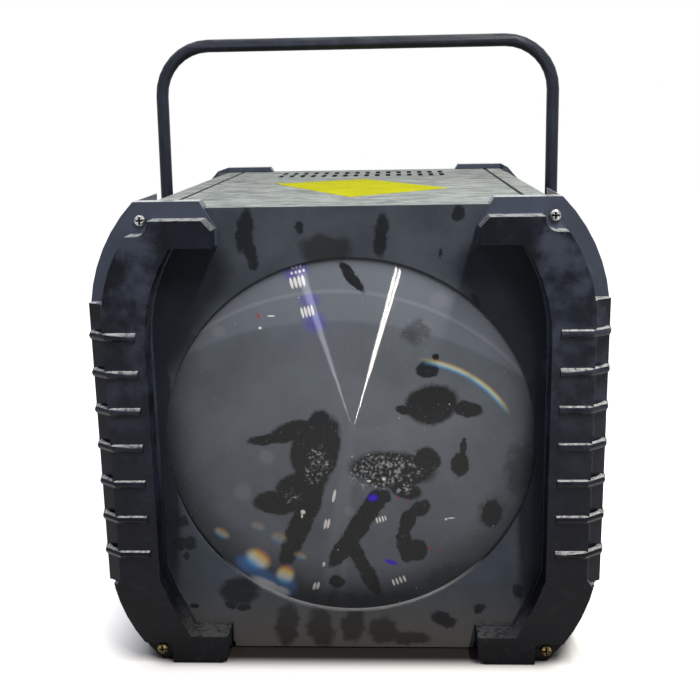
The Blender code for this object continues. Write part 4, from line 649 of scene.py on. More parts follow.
# The same plating under grease is dark gold and blotched.
brassy, shader, place = new_material("zinc_plated_steel_dirty", 0.45, metallic=1.0)
dull = patches(brassy, place, 1.2, 0.35, 0.6)
paint(brassy, shader, layer(brassy, "a08a5a", dull, "2c2820"))
uneven_gloss(brassy, shader, dull, 0.35, 0.65)
relief(brassy, shader, place, 0.4, 0.01, 0.25)

# Dry dirt is matt and nearly black.
packed_dirt, shader, place = new_material("dirt_in_recess", 0.9, specular=0.1)
dry = patches(packed_dirt, place, 1, 0.4, 0.6)
paint(packed_dirt, shader, layer(packed_dirt, "100f0e", dry, "26241f"))

BUMPER_SCREW_HEAD = 3.5
RECESS_REACH = 0.66
RECESS_DEPTH = (0.2, 0.5)


def parted(copy, materials, choose):
    """Gives each face the finish that choose picks by the face's middle, in millimetres."""
    copy.data.materials.clear()
    for material in materials:
        copy.data.materials.append(material)
    for face in copy.data.polygons:
        face.material_index = choose(face.center / MM, face.normal)


def driven_screw(node, metal, head):
    """A screw along Y with dirt packed into its cross recess. Head is its radius, in millimetres."""
    screw = smooth_copy(node, metal)
    points = [vert.co / MM for vert in screw.data.vertices]
    middle_x = (min(p.x for p in points) + max(p.x for p in points)) / 2
    middle_z = (min(p.z for p in points) + max(p.z for p in points)) / 2
    tip = max(abs(p.y) for p in points)

    def in_recess(at, way):
        out = math.hypot(at.x - middle_x, at.z - middle_z) / head
        deep = (tip - abs(at.y)) / head
        return int(out < RECESS_REACH and RECESS_DEPTH[0] < deep < RECESS_DEPTH[1])

    parted(screw, (metal, packed_dirt), in_recess)


for end in ("front", "rear"):
    for hand in ("left", "right"):
        driven_screw(f"bumper_screw_{end}_{hand}_top", zinc, BUMPER_SCREW_HEAD)
        driven_screw(f"bumper_screw_{end}_{hand}_low", brassy, BUMPER_SCREW_HEAD)


# The handle: one bent steel rod with flattened eyes, sprayed dark blue-grey.
# It swings on two studs, between rubber washers and lobed clamp knobs.

# Spray paint is satin and blue-grey, scuffed along the rod, and paler grey on top where it is worn
# and where a highlight is painted.
rod_paint, shader, place = new_material("handle_spray_paint", 0.4, specular=0.15)
scuffed = patches(rod_paint, place, 12, 0.45, 0.7, 5.0, (1, 1, 0.5))
tone = layer(rod_paint, "252a35", scuffed, "2f3541")
top = facing_up(rod_paint, 0.35, 0.95)
wear_and_highlight = patches(rod_paint, place, 6, 0.3, 0.65, 6.0, (0.3, 1, 1))
tone = layer(rod_paint, tone, times(rod_paint, top, wear_and_highlight), "555c60")
paint(rod_paint, shader, tone)
uneven_gloss(rod_paint, shader, scuffed, 0.36, 0.5)
relief(rod_paint, shader, place, 1.1, 0.02, 0.4)
smooth_copy("handle", rod_paint, 40)

# Moulded rubber is matt black with a pale bloom.
rubber, shader, place = new_material("washer_rubber", 0.75, specular=0.3)
bloom = patches(rubber, place, 5, 0.4, 0.7)
paint(rubber, shader, layer(rubber, "121214", bloom, "232325"))
relief(rubber, shader, place, 0.6, 0.02, 0.4)

# Grained ABS is dark grey, polished unevenly by hands.
knob_plastic, shader, place = new_material("black_abs_grained", 0.5, specular=0.35)
handled = patches(knob_plastic, place, 7, 0.4, 0.7)
paint(knob_plastic, shader, layer(knob_plastic, "131417", handled, "222428"))
uneven_gloss(knob_plastic, shader, handled, 0.42, 0.58)
relief(knob_plastic, shader, place, 0.5, 0.03, 0.6)

for hand in ("left", "right"):
    smooth_copy(f"handle_washer_{hand}", rubber)
    smooth_copy(f"clamp_knob_{hand}", knob_plastic)
    smooth_copy(f"clamp_stud_{hand}", zinc)
    smooth_copy(f"clamp_nut_{hand}", zinc)


# The lens: a pressed disc of clear acrylic, domed at the front, with fine rings
# cut inside it that throw each lamp into a streak. Haze and finger marks dull it.

LENS_Z = 128.8
LENS_BASE_Y = -162.2
DOME_RADIUS = 104.8
DOME_RISE = 12.0
LENS_FLANGE_RADIUS = 109.5
LENS_WALL = 3.0
LENS_STEPS = 28
LENS_TURNS = 144
RING_CENTRE = (2.1, 139.0)
RING_FLANK = 0.23
FLANK_SLOPES = (0.15, 1.15)

sphere = (DOME_RADIUS**2 + DOME_RISE**2) / (2 * DOME_RISE)
profile = []
for i in range(LENS_STEPS + 1):
    r = DOME_RADIUS * i / LENS_STEPS
    profile.append((r, math.sqrt(sphere**2 - r * r) - sphere + DOME_RISE))
profile += [
    (DOME_RADIUS + 0.1, -0.3),
    (LENS_FLANGE_RADIUS - 0.3, -0.3),
    (LENS_FLANGE_RADIUS, -0.6),
    (LENS_FLANGE_RADIUS, -2.7),
    (DOME_RADIUS, -2.7),
]
for i in range(LENS_STEPS - 1, -1, -1):
    r = DOME_RADIUS * i / LENS_STEPS
    profile.append((r, math.sqrt(sphere**2 - r * r) - sphere + DOME_RISE - LENS_WALL))

shape = bmesh.new()
corners = [
    shape.verts.new((r * MM, (LENS_BASE_Y - rise) * MM, LENS_Z * MM)) for r, rise in profile
]
edges = [shape.edges.new(pair) for pair in zip(corners, corners[1:])]
bmesh.ops.spin(
    shape,
    geom=corners + edges,
    cent=(0, LENS_BASE_Y * MM, LENS_Z * MM),
    axis=(0, 1, 0),
    dvec=(0, 0, 0),
    angle=2 * math.pi,
    steps=LENS_TURNS,
    use_merge=True,
)
bmesh.ops.remove_doubles(shape, verts=shape.verts, dist=0.005 * MM)
bmesh.ops.recalc_face_normals(shape, faces=shape.faces)
mesh = bpy.data.meshes.new("lens_disc")
shape.to_mesh(mesh)
shape.free()
mesh.shade_smooth()
mesh.set_sharp_from_angle(angle=math.radians(28))
lens = bpy.data.objects.new("lens_disc", mesh)
bpy.context.collection.objects.link(lens)
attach(lens, "body")
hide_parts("lens")

# What is on the lens, as ovals: x, z, half width, half height and turn. A prism also
# has its strength. A row of glints has its first one's x and z, the steps to the next
# and their number, and then the half width, half height and turn of each.

LENS_MARKS = (
    (2.7, 223.1, 2.9, 10.6, -38),
    (43.7, 172.4, 6.4, 4.8, 0),
    (47.9, 178.8, 2.4, 2.1, 0),
    (45.9, 152.4, 14.9, 11.2, -8),
    (65.9, 149.0, 8.0, 4.8, 10),
    (30.5, 150.0, 4.8, 2.4, 20),
    (61.7, 117.4, 5.3, 6.9, 0),
    (63.5, 127.4, 1.9, 5.3, 0),
    (23.6, 115.3, 23.9, 10.6, 5),
    (42.6, 120.1, 8.0, 8.0, 0),
    (30.2, 104.2, 10.6, 5.9, 30),
    (-42.9, 133.8, 3.2, 15.1, 78),
    (-32.0, 137.8, 5.7, 13.5, 71),
    (-17.9, 140.6, 6.9, 10.3, 35),
    (-12.9, 127.7, 7.5, 19.4, 10),
    (-24.4, 127.1, 8.6, 13.9, 17),
    (-21.4, 113.2, 9.8, 13.2, 18),
    (-42.1, 94.7, 13.8, 7.4, 0),
    (-30.8, 104.3, 11.7, 8.0, 0),
    (-23.8, 94.3, 6.3, 19.9, 23),
    (-32.7, 72.3, 6.0, 20.9, 22),
    (-27.9, 83.4, 6.3, 20.2, 22),
    (11.2, 92.1, 6.0, 13.0, 32),
    (4.1, 80.1, 5.7, 17.5, 31),
    (-4.5, 66.8, 5.5, 15.3, 32),
    (16.7, 99.6, 6.4, 5.3, 0),
    (2.1, 64.6, 4.6, 12.0, -22),
    (8.8, 49.9, 4.6, 16.4, -24),
    (-9.2, 44.2, 4.8, 4.5, 0),
    (38.6, 91.0, 4.3, 7.0, 55),
    (32.1, 82.6, 4.3, 9.5, 22),
    (30.6, 68.7, 4.6, 12.0, -9),
    (36.9, 64.7, 7.4, 6.9, 30),
    (80.3, 85.8, 5.9, 9.0, 0),
)
# Dark smears, and painted shade along the right edge and across the bottom of the lens.
LENS_SMEARS_AND_SHADE = (
    (37.2, 192.8, 6.4, 5.2, 0),
    (80.3, 85.8, 7.0, 9.1, 0),
    (55.6, 47.5, 13.8, 6.3, -20),
    (95.9, 111.5, 7.5, 16.0, 0),
    (0.0, 30.0, 70.0, 5.0, 0),
)

LENS_PRISMS = (
    (-55.2, 57.4, 9.6, 9.4, 42, 0.95),
    (-39.6, 47.4, 6.6, 9.6, 20, 0.95),
    (-75.7, 73.5, 6.0, 4.6, 30, 0.4),
    (-41.9, 72.3, 6.0, 6.0, 20, 0.22),
    (-53.9, 79.5, 5.5, 4.5, 20, 0.18),
    (-30.0, 61.0, 5.0, 4.0, 20, 0.25),
)
LENS_BLUES = (
    (-61.0, 52.5, 7.5, 5.0, 40),
    (-52.0, 45.0, 10.0, 5.0, 32),
    (-38.0, 40.0, 4.5, 6.0, 0),
)
LENS_FLARES = ((-49.5, 39.4, 10.0, 3.6, 29), (-42.5, 36.4, 5.0, 3.0, 22))
GLINT_ROWS = (
    (-30.6, 220.0, 2.2, 0.46, 4, 0.85, 3.1, -14),
    (-24.8, 204.1, 1.87, 0.47, 4, 0.75, 3.0, -14),
    (-30.4, 225.4, 2.2, 0.5, 4, 0.7, 0.8, -14),
    (-30.0, 228.2, 2.2, 0.5, 3, 0.7, 0.7, -14),
    (-14.7, 82.1, 1.8, 0.3, 2, 0.8, 3.2, 12),
    (-22.5, 40.4, 2.2, 0.5, 2, 0.9, 2.7, 14),
    (14.7, 84.4, 1.7, 0.5, 3, 0.6, 1.9, -14),
    (23.8, 43.1, 2.13, 0.87, 4, 0.7, 2.3, -18),
)
SINGLE_GLINTS = (
    (-48.5, 195.7, 0.9, 0.8, 0),
    (-42.2, 202.3, 2.2, 0.4, 0),
    (-9.3, 99.7, 0.9, 4.0, 12),
    (-27.3, 89.5, 1.4, 1.4, 0),
    (-28.0, 86.9, 0.6, 1.3, 0),
    (-16.4, 55.8, 0.8, 1.6, 10),
    (19.6, 85.9, 0.5, 1.6, -14),
    (10.6, 108.8, 1.2, 0.7, 0),
    (19.0, 109.9, 1.0, 0.9, 0),
    (54.0, 84.0, 0.8, 0.8, 0),
    (56.9, 84.5, 2.1, 0.4, 0),
)
LENS_VIOLETS = (
    (-20.5, 211.0, 5.0, 3.2, 10),
    (-30.8, 225.5, 4.0, 3.2, 20),
    (-25.5, 228.0, 4.5, 3.0, 20),
    (-18.0, 199.4, 6.0, 5.0, 20),
)
LENS_DEEP_VIOLETS = ((12.7, 98.6, 2.6, 2.0, 0), (22.5, 57.1, 3.8, 1.3, 25))
LENS_REDS = (
    (45.5, 65.8, 0.6, 0.9, 0),
    (51.5, 64.9, 0.6, 0.9, 0),
    (27.1, 98.2, 0.6, 0.8, 0),
    (31.6, 96.2, 0.6, 0.8, 0),
    (-49.6, 202.3, 0.6, 1.8, -30),
)
LENS_PALE = (
    (-61.7, 100.7, 5.0, 5.0, 0),
    (-46.9, 122.5, 4.0, 4.0, 0),
    (-0.5, 90.5, 3.0, 3.0, 0),
    (-72.0, 193.4, 4.0, 3.0, 0),
    (41.4, 195.0, 5.0, 4.0, 0),
    (49.8, 210.0, 5.0, 4.0, 0),
)
LENS_FROST = (
    (13.0, 114.0, 13.0, 8.0, 5),
    (25.0, 116.5, 14.0, 7.0, 5),
    (28.0, 107.0, 9.0, 4.5, 20),
    (-18.0, 118.0, 6.0, 9.0, 10),
    (-34.0, 99.0, 5.0, 4.0, 0),
)
# Painted highlights: faint beams of lamp light running down from the middle.
LENS_PAINTED_BEAMS = ((-8.4, 80.0, 3.4, 52.0, 10), (-3.4, 79.0, 2.2, 50.0, 4))

# Circles that the curved edges on the lens follow: x, z and radius. Above the crown arc lies a
# painted reflection of the pale ceiling, and along the faint arc a thin painted reflection. The bow
# is a painted sliver of rainbow from the near lamp.

CROWN_ARC = (-8.8, 21.5, 178)
FAINT_ARC = (-7.4, 80.1, 135)
BOW_ARC = (31.3, 110.3, 67.4)
BOW_HALF = 2.8
BOW_STRETCH = ((76, 159.5, 6, 14, -48), (58, 172.5, 6, 14, -70))


def prism(made, under, place, x, z, long, short, angle, share):
    """A soft spot in which the rings part white light into its colours, on an upright face."""
    within, spot = oval(made, place, x, z, long, short, angle, 0.6)
    across = add_node(made, "ShaderNodeSeparateXYZ", {0: within})
    along = add_node(
        made,
        "ShaderNodeMapRange",
        {"Value": across.outputs["Z"]},
        {"From Min": -1.0, "From Max": 1.0},
    )
    bands = add_node(made, "ShaderNodeValToRGB", {0: along.outputs[0]})
    stops = bands.color_ramp.elements
    stops[0].position = 0.0
    stops[0].color = colour_of("3a86ff")
    stops[1].position = 1.0
    stops[1].color = colour_of("8a5ad0")
    for at, code in ((0.24, "6cc4ff"), (0.44, "f8fcff"), (0.62, "fff0a8"), (0.78, "f4a850")):
        stops.new(at).color = colour_of(code)
    return layer(made, under, times(made, spot, share), bands.outputs[0])


# Old acrylic is grey with haze and still shines along its rings, which are cut 0.46 mm
# apart with one steep flank each. Grease dulls that shine.
acrylic, shader, place = new_material("hazed_acrylic", 0.3, specular=0.1)
from_rings = add_node(
    acrylic,
    "ShaderNodeVectorMath",
    {0: place},
    {1: (RING_CENTRE[0] * MM, 0, RING_CENTRE[1] * MM)},
    operation="SUBTRACT",
)
flat = add_node(
    acrylic,
    "ShaderNodeVectorMath",
    {0: from_rings.outputs[0]},
    {1: (1, 0, 1)},
    operation="MULTIPLY",
)
outward = add_node(acrylic, "ShaderNodeVectorMath", {0: flat.outputs[0]}, operation="NORMALIZE")
reach = add_node(acrylic, "ShaderNodeVectorMath", {0: flat.outputs[0]}, operation="LENGTH")
wave = add_node(
    acrylic,
    "ShaderNodeMath",
    {0: reach.outputs["Value"]},
    {1: RING_FLANK * MM},
    operation="PINGPONG",
)
slope = add_node(
    acrylic,
    "ShaderNodeMapRange",
    {"Value": wave.outputs[0]},
    {"From Max": RING_FLANK * MM, "To Min": FLANK_SLOPES[0], "To Max": FLANK_SLOPES[1]},
)
lean = add_node(
    acrylic,
    "ShaderNodeVectorMath",
    {0: outward.outputs[0], "Scale": slope.outputs[0]},
    operation="SCALE",
)
surface = add_node(acrylic, "ShaderNodeNewGeometry")
leant = add_node(
    acrylic,
    "ShaderNodeVectorMath",
    {0: surface.outputs["Normal"], 1: lean.outputs[0]},
    operation="ADD",
)
groove = add_node(acrylic, "ShaderNodeVectorMath", {0: leant.outputs[0]}, operation="NORMALIZE")
acrylic.node_tree.links.new(groove.outputs[0], shader.inputs["Coat Normal"])
shader.inputs["Coat Roughness"].default_value = 0.045
shader.inputs["Coat IOR"].default_value = 1.5

# The haze, with painted light making it paler towards the top and painted shade darkening the rim,
# most at the bottom.

haze = patches(acrylic, place, 45, 0.25, 0.75)
tone = layer(acrylic, "5c636b", haze, "6f7780")
# Painted light: paler towards the top.
upper = fade(acrylic, place, "Z", 165, 225, high=0.35)
tone = layer(acrylic, tone, upper, "727a86")
flat_place = add_node(
    acrylic,
    "ShaderNodeVectorMath",
    {0: place},
    {1: (1, 0, 1)},
    operation="MULTIPLY",
)


def arc_band(made, x, z, radius, inner, outer):
    """0 inside a circle on the lens and 1 outside it, rising over its edge, in millimetres."""
    reach = add_node(
        made,
        "ShaderNodeVectorMath",
        {0: flat_place.outputs[0]},
        {1: (x * MM, 0, z * MM)},
        operation="DISTANCE",
    )
    rise = add_node(
        made,
        "ShaderNodeMapRange",
        {"Value": reach.outputs["Value"]},
        {"From Min": (radius + inner) * MM, "From Max": (radius + outer) * MM},
        interpolation_type="SMOOTHSTEP",
    )
    return rise.outputs[0]


# Painted reflections: the pale ceiling above the crown arc, and a thin pale line along the faint arc.
crown = arc_band(acrylic, *CROWN_ARC, -1.5, 1.5)
tone = layer(acrylic, tone, times(acrylic, crown, 0.42), "868e9a")
line_start = arc_band(acrylic, *FAINT_ARC, -1.0, 0.3)
line_end = arc_band(acrylic, *FAINT_ARC, 2.6, 0.6)
line = times(acrylic, line_start, line_end)
tone = layer(acrylic, tone, times(acrylic, line, 0.16), "c4ccd6")
# Painted shade at the rim, deepest at the bottom.
from_centre = add_node(
    acrylic,
    "ShaderNodeVectorMath",
    {0: place},
    {1: (0, LENS_BASE_Y * MM, (LENS_Z + 14) * MM)},
    operation="DISTANCE",
)
painted_rim_shade = add_node(
    acrylic,
    "ShaderNodeMapRange",
    {"Value": from_centre.outputs["Value"]},
    {"From Min": 84 * MM, "From Max": 117 * MM},
    interpolation_type="SMOOTHSTEP",
)
tone = layer(acrylic, tone, times(acrylic, painted_rim_shade.outputs[0], 0.8), "14181d")

# Painted beams of lamp light, pale spots, finger marks, dark smears, frost and dust, painted shade at
# the right edge and the bottom, and painted sparkle glints.

painted_beams = wiped(acrylic, place, LENS_PAINTED_BEAMS, 0.4, 1.4)
tone = layer(acrylic, tone, times(acrylic, painted_beams, 0.18), "a4aab0")
pale = wiped(acrylic, place, LENS_PALE, 1, 0.8)
tone = layer(acrylic, tone, times(acrylic, pale, 0.25), "a0a6aa")
broken = patches(acrylic, place, 2.4, 0.05, 0.42, 6.0)
marks = times(acrylic, wiped(acrylic, place, LENS_MARKS, 2.6, 0.3), broken)
# Dark smears, with painted shade along the right edge and the bottom.
smears_and_edge_shade = wiped(acrylic, place, LENS_SMEARS_AND_SHADE, 8, 0.9)
tone = layer(acrylic, tone, times(acrylic, smears_and_edge_shade, 0.6), "202327")
tone = layer(acrylic, tone, times(acrylic, marks, 0.96), "06070a")
frosted = wiped(acrylic, place, LENS_FROST, 12, 0.7)
crumbs = patches(acrylic, place, 2.0, 0.48, 0.64, 8.0)
frost = times(acrylic, frosted, crumbs)
tone = layer(acrylic, tone, times(acrylic, frost, 0.75), "c4cace")
grains = specks(acrylic, place, 2.6, 0.32, 0.3)
tone = layer(acrylic, tone, times(acrylic, grains, 0.5), "c4c9cc")
# Painted glints: small bright sparkles.
painted_sparkles = specks(acrylic, place, 9.0, 0.5, 0.25)
tone = layer(acrylic, tone, times(acrylic, painted_sparkles, 0.85), "eef2f6")

# Painted light: coloured spots and glints, where the rings part and throw back the light of the
# lamps.

blues = wiped(acrylic, place, LENS_BLUES, 1, 1.2)
tone = layer(acrylic, tone, times(acrylic, blues, 0.55), "6aa2f4")
flares = wiped(acrylic, place, LENS_FLARES, 1, 0.9)
tone = layer(acrylic, tone, flares, "f4faff")
for spot in LENS_PRISMS:
    tone = prism(acrylic, tone, place, *spot)
bow_reach = add_node(
    acrylic,
    "ShaderNodeVectorMath",
    {0: flat_place.outputs[0]},
    {1: (BOW_ARC[0] * MM, 0, BOW_ARC[1] * MM)},
    operation="DISTANCE",
)
bow_across = add_node(
    acrylic,
    "ShaderNodeMapRange",
    {"Value": bow_reach.outputs["Value"]},
    {"From Min": (BOW_ARC[2] - BOW_HALF) * MM, "From Max": (BOW_ARC[2] + BOW_HALF) * MM},
)
bow = add_node(acrylic, "ShaderNodeValToRGB", {0: bow_across.outputs[0]})
stops = bow.color_ramp.elements
stops[0].color = colour_of("2f5fd0")
stops[1].color = colour_of("c8603c")
for at, code in ((0.3, "68b8e4"), (0.5, "dfeee6"), (0.7, "dcd88c"), (0.86, "d09060")):
    stops.new(at).color = colour_of(code)
inside_bow = arc_band(acrylic, *BOW_ARC, -BOW_HALF, -0.6)
outside_bow = arc_band(acrylic, *BOW_ARC, BOW_HALF, 0.6)
bow_length = wiped(acrylic, place, BOW_STRETCH, 0.5, 1.2)
bow_mask = times(acrylic, times(acrylic, inside_bow, outside_bow), bow_length)
tone = layer(acrylic, tone, times(acrylic, bow_mask, 0.75), bow.outputs[0])
violets = wiped(acrylic, place, LENS_VIOLETS, 2, 1.4)
tone = layer(acrylic, tone, times(acrylic, violets, 0.55), "5048c8")
deep = wiped(acrylic, place, LENS_DEEP_VIOLETS, 0.5, 1.0)
tone = layer(acrylic, tone, times(acrylic, deep, 0.9), "4a28f0")
all_glints = list(SINGLE_GLINTS)
for x, z, step, climb, count, *one in GLINT_ROWS:
    all_glints += [(x + i * step, z + i * climb, *one) for i in range(count)]
glints = wiped(acrylic, place, all_glints, 0.12, 0.35)
tone = layer(acrylic, tone, glints, "ffffff")
reds = wiped(acrylic, place, LENS_REDS, 1, 0.8)
tone = layer(acrylic, tone, times(acrylic, reds, 0.8), "c02834")

# The rim: painted shade inside its lower edge, with a painted highlight along the edge itself.

edge_start = arc_band(acrylic, 0, LENS_Z, DOME_RADIUS, -1.3, -0.7)
under_side = fade(acrylic, place, "Z", 58, 34)
painted_lower_rim_shade = times(acrylic, arc_band(acrylic, 0, LENS_Z + 3, 98, -12, 4), under_side)
tone = layer(acrylic, tone, times(acrylic, painted_lower_rim_shade, 0.6), "0a1016")
painted_edge_highlight = times(acrylic, edge_start, under_side)
tone = layer(acrylic, tone, painted_edge_highlight, "f2f6f8")
paint(acrylic, shader, tone)
shader.inputs["Transmission Weight"].default_value = 0.1
oily = add_node(
    acrylic,
    "ShaderNodeMapRange",
    {"Value": marks},
    {"To Min": 0.5, "To Max": 0.12},
)
acrylic.node_tree.links.new(oily.outputs[0], shader.inputs["Coat Weight"])
uneven_gloss(acrylic, shader, marks, 0.34, 0.26)
lens.data.materials.append(acrylic)

for number in range(1, 5):
    smooth_copy(f"lens_clip_{number}", zinc)
    smooth_copy(f"lens_screw_{number}", zinc)


# The light source: 36 clear emitters on a green board, held by brass posts on
# a folded aluminium bracket, and fed by a black lead.

# Mill-finish aluminium is silvery, with the faint lines of the rolls.
aluminium, shader, place = new_material("mill_finish_aluminium", 0.38, metallic=1.0)
rolled = patches(aluminium, place, 3, 0.3, 0.7, 3.0, (1, 1, 0.08))
paint(aluminium, shader, layer(aluminium, "a9abad", rolled, "bfc1c2"))
uneven_gloss(aluminium, shader, rolled, 0.3, 0.46)
relief(aluminium, shader, place, 0.5, 0.006, 0.3)

# Solder resist is a glossy green, lighter over the copper. The tracks are drawn wide
# and far apart, because real ones are too fine to show.
resist, shader, place = new_material("green_solder_resist", 0.35, specular=0.5)
tracks = add_node(
    resist,
    "ShaderNodeTexBrick",
    {"Vector": place},
    {
        "Scale": 1 / (9 * MM),
        "Color1": colour_of("14502c"),
        "Color2": colour_of("0f4425"),
        "Mortar": colour_of("1d6b3b"),
        "Mortar Size": 0.04,
    },
)
paint(resist, shader, tracks.outputs[0])
relief(resist, shader, place, 0.8, 0.01, 0.2)

# Cast epoxy is clear and slightly milky.
epoxy, shader, place = new_material("clear_led_epoxy", 0.12, specular=0.5)
milky = patches(epoxy, place, 2, 0.3, 0.7)
paint(epoxy, shader, layer(epoxy, "d5dadb", milky, "b9c0c4"))
shader.inputs["Transmission Weight"].default_value = 0.6

# Turned brass is yellow, tarnished in spots.
posts, shader, place = new_material("turned_brass", 0.3, metallic=1.0)
tarnish = patches(posts, place, 2, 0.4, 0.7)
paint(posts, shader, layer(posts, "c29a4a", tarnish, "8a6c33"))
relief(posts, shader, place, 0.4, 0.006, 0.2)

# PVC is a satin black with a little dust.
jacket, shader, place = new_material("pvc_cable_jacket", 0.5, specular=0.4)
dusty = patches(jacket, place, 6, 0.4, 0.7)
paint(jacket, shader, layer(jacket, "141416", dusty, "26272a"))
relief(jacket, shader, place, 0.5, 0.01, 0.2)

BOARD_FRONT = -80.1
BOARD_BACK = -79.9


def led_board_finish(at, way):
    """Which finish of the LED board a face has: the board's, an emitter's or a post's."""
    if at.y < BOARD_FRONT:
        return 1
    return 2 if at.y > BOARD_BACK and abs(way.y) < 0.9 else 0


dress("led_bracket", aluminium)
smooth_copy("led_lead", jacket, 45)
board = smooth_copy("led_board", resist)
parted(board, (resist, epoxy, posts), led_board_finish)


# The power supply: a green board on posts with a transformer, two capacitors
# and a finned sink, fed from the inlet by a black lead.

# The core's varnished steel sheets make fine stripes. They are drawn 6 mm wide,
# because real ones of 0.5 mm are too fine to show.
core, shader, place = new_material("laminated_core_steel", 0.5, metallic=0.7)
stack = add_node(
    core,
    "ShaderNodeTexWave",
    {"Vector": place},
    {"Scale": 1 / (6 * MM), "Distortion": 0.6, "Detail": 1.0},
    bands_direction="Z",
)
paint(core, shader, layer(core, "3a3a3c", stack.outputs["Fac"], "5c5c60"))
relief(core, shader, place, 0.8, 0.02, 0.4)

dress("power_board", resist)
dress("transformer", core)
dress("heatsink", aluminium)
smooth_copy("mains_lead", jacket, 45)


# The fan: an 80 mm moulded frame and seven-blade rotor behind a punched guard
# with the case's enamel on it.

FAN_SCREW_HEAD = 2.8

# Glass-filled PBT is matt black under house dust.
fan_plastic, shader, place = new_material("black_pbt_fan", 0.45, specular=0.4)
dusty = patches(fan_plastic, place, 8, 0.4, 0.7, 5.0)
paint(fan_plastic, shader, layer(fan_plastic, "111214", dusty, "2b2c2e"))
uneven_gloss(fan_plastic, shader, dusty, 0.4, 0.6)
relief(fan_plastic, shader, place, 0.6, 0.015, 0.3)
smooth_copy("fan_frame", fan_plastic)
smooth_copy("fan_rotor", fan_plastic)

# Enamel on punched steel is satin, chipped to grey in spots.
guard_paint, shader, place = new_material("satin_enamel_guard", 0.45, specular=0.4)
chipped = patches(guard_paint, place, 4, 0.6, 0.75, 5.0)
paint(guard_paint, shader, layer(guard_paint, "1e2024", chipped, "44484d"))
relief(guard_paint, shader, place, 0.8, 0.012, 0.3)
dress("fan_guard", guard_paint)
for number in range(1, 5):
    driven_screw(f"fan_screw_{number}", zinc, FAN_SCREW_HEAD)


# The controls: a display and four push switches on a board behind the rear
# panel, a dark red window over the digits, and black button caps.

# The display's moulded housing is a plain satin black.
display_black, shader, place = new_material("display_housing", 0.4, specular=0.4)
handled = patches(display_black, place, 6, 0.4, 0.7)
paint(display_black, shader, layer(display_black, "0d0d10", handled, "17171b"))
relief(display_black, shader, place, 0.6, 0.01, 0.3)

# Polycarbonate is glossy, here a dark red with finger prints.
red_window, shader, place = new_material("dark_red_polycarbonate", 0.12, specular=0.15)
print_marks = patches(red_window, place, 9, 0.45, 0.7, 5.0)
paint(red_window, shader, layer(red_window, "5c0a12", print_marks, "6c141a"))
uneven_gloss(red_window, shader, print_marks, 0.08, 0.24)

DISPLAY_LOW = 211.5
DISPLAY_HALF = 30


def control_board_finish(at, way):
    """Which finish of the control board a face has: the board's or the display housing's."""
    return int(at.z > DISPLAY_LOW and abs(at.x) < DISPLAY_HALF)


board = smooth_copy("control_board", resist)
parted(board, (resist, display_black), control_board_finish)
dress("display_window", red_window)
for number in range(1, 5):
    smooth_copy(f"menu_button_{number}", knob_plastic)


# The sockets: black nylon data sockets, mains inlet and fuse holder riveted or
# nutted to the rear panel, with a glass fuse behind a slotted cap.

# Moulded nylon is satin black, shinier where plugs have rubbed it.
nylon, shader, place = new_material("black_nylon", 0.42, specular=0.45)
handled = patches(nylon, place, 6, 0.4, 0.7)
paint(nylon, shader, layer(nylon, "0f1012", handled, "1e1f22"))
uneven_gloss(nylon, shader, handled, 0.36, 0.55)
relief(nylon, shader, place, 0.5, 0.015, 0.3)

# Drawn glass is clear with a faint green cast.
glass, shader, place = new_material("fuse_glass", 0.06, specular=0.5)
paint(glass, shader, layer(glass, "e6ecea", patches(glass, place, 4, 0.4, 0.7), "d8e0de"))
shader.inputs["Transmission Weight"].default_value = 0.85

for node in ("data_in_socket", "data_out_socket", "mains_inlet", "fuse_holder", "fuse_cap"):
    smooth_copy(node, nylon, 18)
smooth_copy("fuse", glass)


# A blank yellow vinyl sticker on the lid, stuck on askew, its face crazed and
# rubbed and one corner lifting a little.

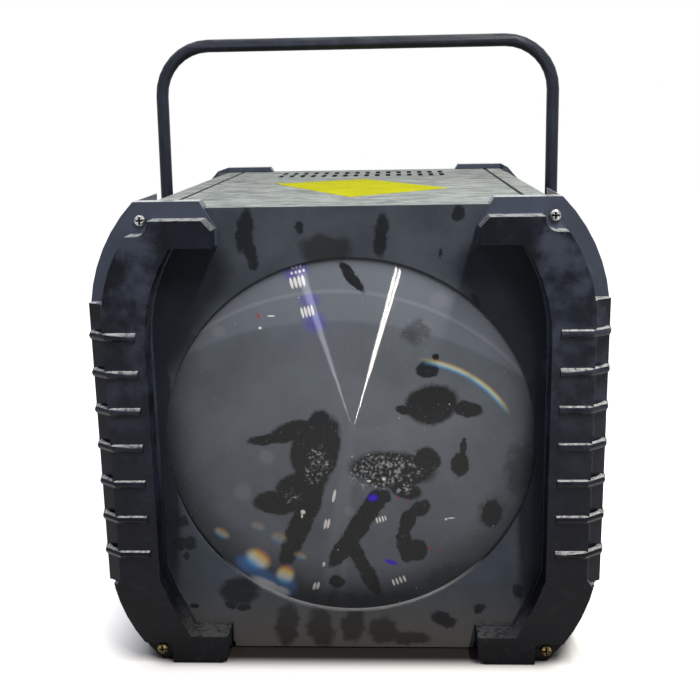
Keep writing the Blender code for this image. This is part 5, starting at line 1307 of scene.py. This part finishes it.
LID_TOP = 261.6
STICKER_GAP = 0.05
STICKER_CORNERS = ((-58.3, 12.0), (-0.2, -106.4), (61.7, -48.4), (4.1, 50.2))
STICKER_SHEET = 0.12
STICKER_CUTS = 24
STICKER_LIFT = 0.9
LIFT_REACH = 14
CRAZING = (0.04, 5, 7)

shape = bmesh.new()
resting = (LID_TOP + STICKER_GAP) * MM
corners = [shape.verts.new((x * MM, y * MM, resting)) for x, y in STICKER_CORNERS]
shape.faces.new(corners)
bmesh.ops.subdivide_edges(shape, edges=shape.edges, cuts=STICKER_CUTS, use_grid_fill=True)
lifting = Vector((*STICKER_CORNERS[0], 0)) * MM
for vert in shape.verts:
    near = 1 - (Vector((vert.co.x, vert.co.y, 0)) - lifting).length / (LIFT_REACH * MM)
    vert.co.z += STICKER_LIFT * MM * max(near, 0) ** 2
    wave_x = math.sin(vert.co.x / (CRAZING[1] * MM))
    wave_y = math.cos(vert.co.y / (CRAZING[2] * MM))
    vert.co.z += CRAZING[0] * MM * (1 + wave_x * wave_y)
bmesh.ops.recalc_face_normals(shape, faces=shape.faces)
bmesh.ops.solidify(shape, geom=shape.faces, thickness=STICKER_SHEET * MM)
bmesh.ops.recalc_face_normals(shape, faces=shape.faces)
mesh = bpy.data.meshes.new("lid_sticker")
shape.to_mesh(mesh)
shape.free()
mesh.shade_smooth()
mesh.set_sharp_from_angle(angle=math.radians(40))
sticker = bpy.data.objects.new("lid_sticker", mesh)
bpy.context.collection.objects.link(sticker)
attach(sticker, "body")

# Vinyl is a flat strong yellow, rubbed dull in streaks and crazed by age.
vinyl, shader, place = new_material("yellow_vinyl", 0.6, specular=0.02)
faded = patches(vinyl, place, 26, 0.35, 0.7)
tone = layer(vinyl, "c4c500", faded, "b8b804")
rubbed = patches(vinyl, place, 3.5, 0.55, 0.72, 6.0, (0.3, 1, 1))
tone = layer(vinyl, tone, times(vinyl, rubbed, 0.6), "8d8a2a")
paint(vinyl, shader, tone)
relief(vinyl, shader, place, 3.0, 0.08, 0.1)
sticker.data.materials.append(vinyl)
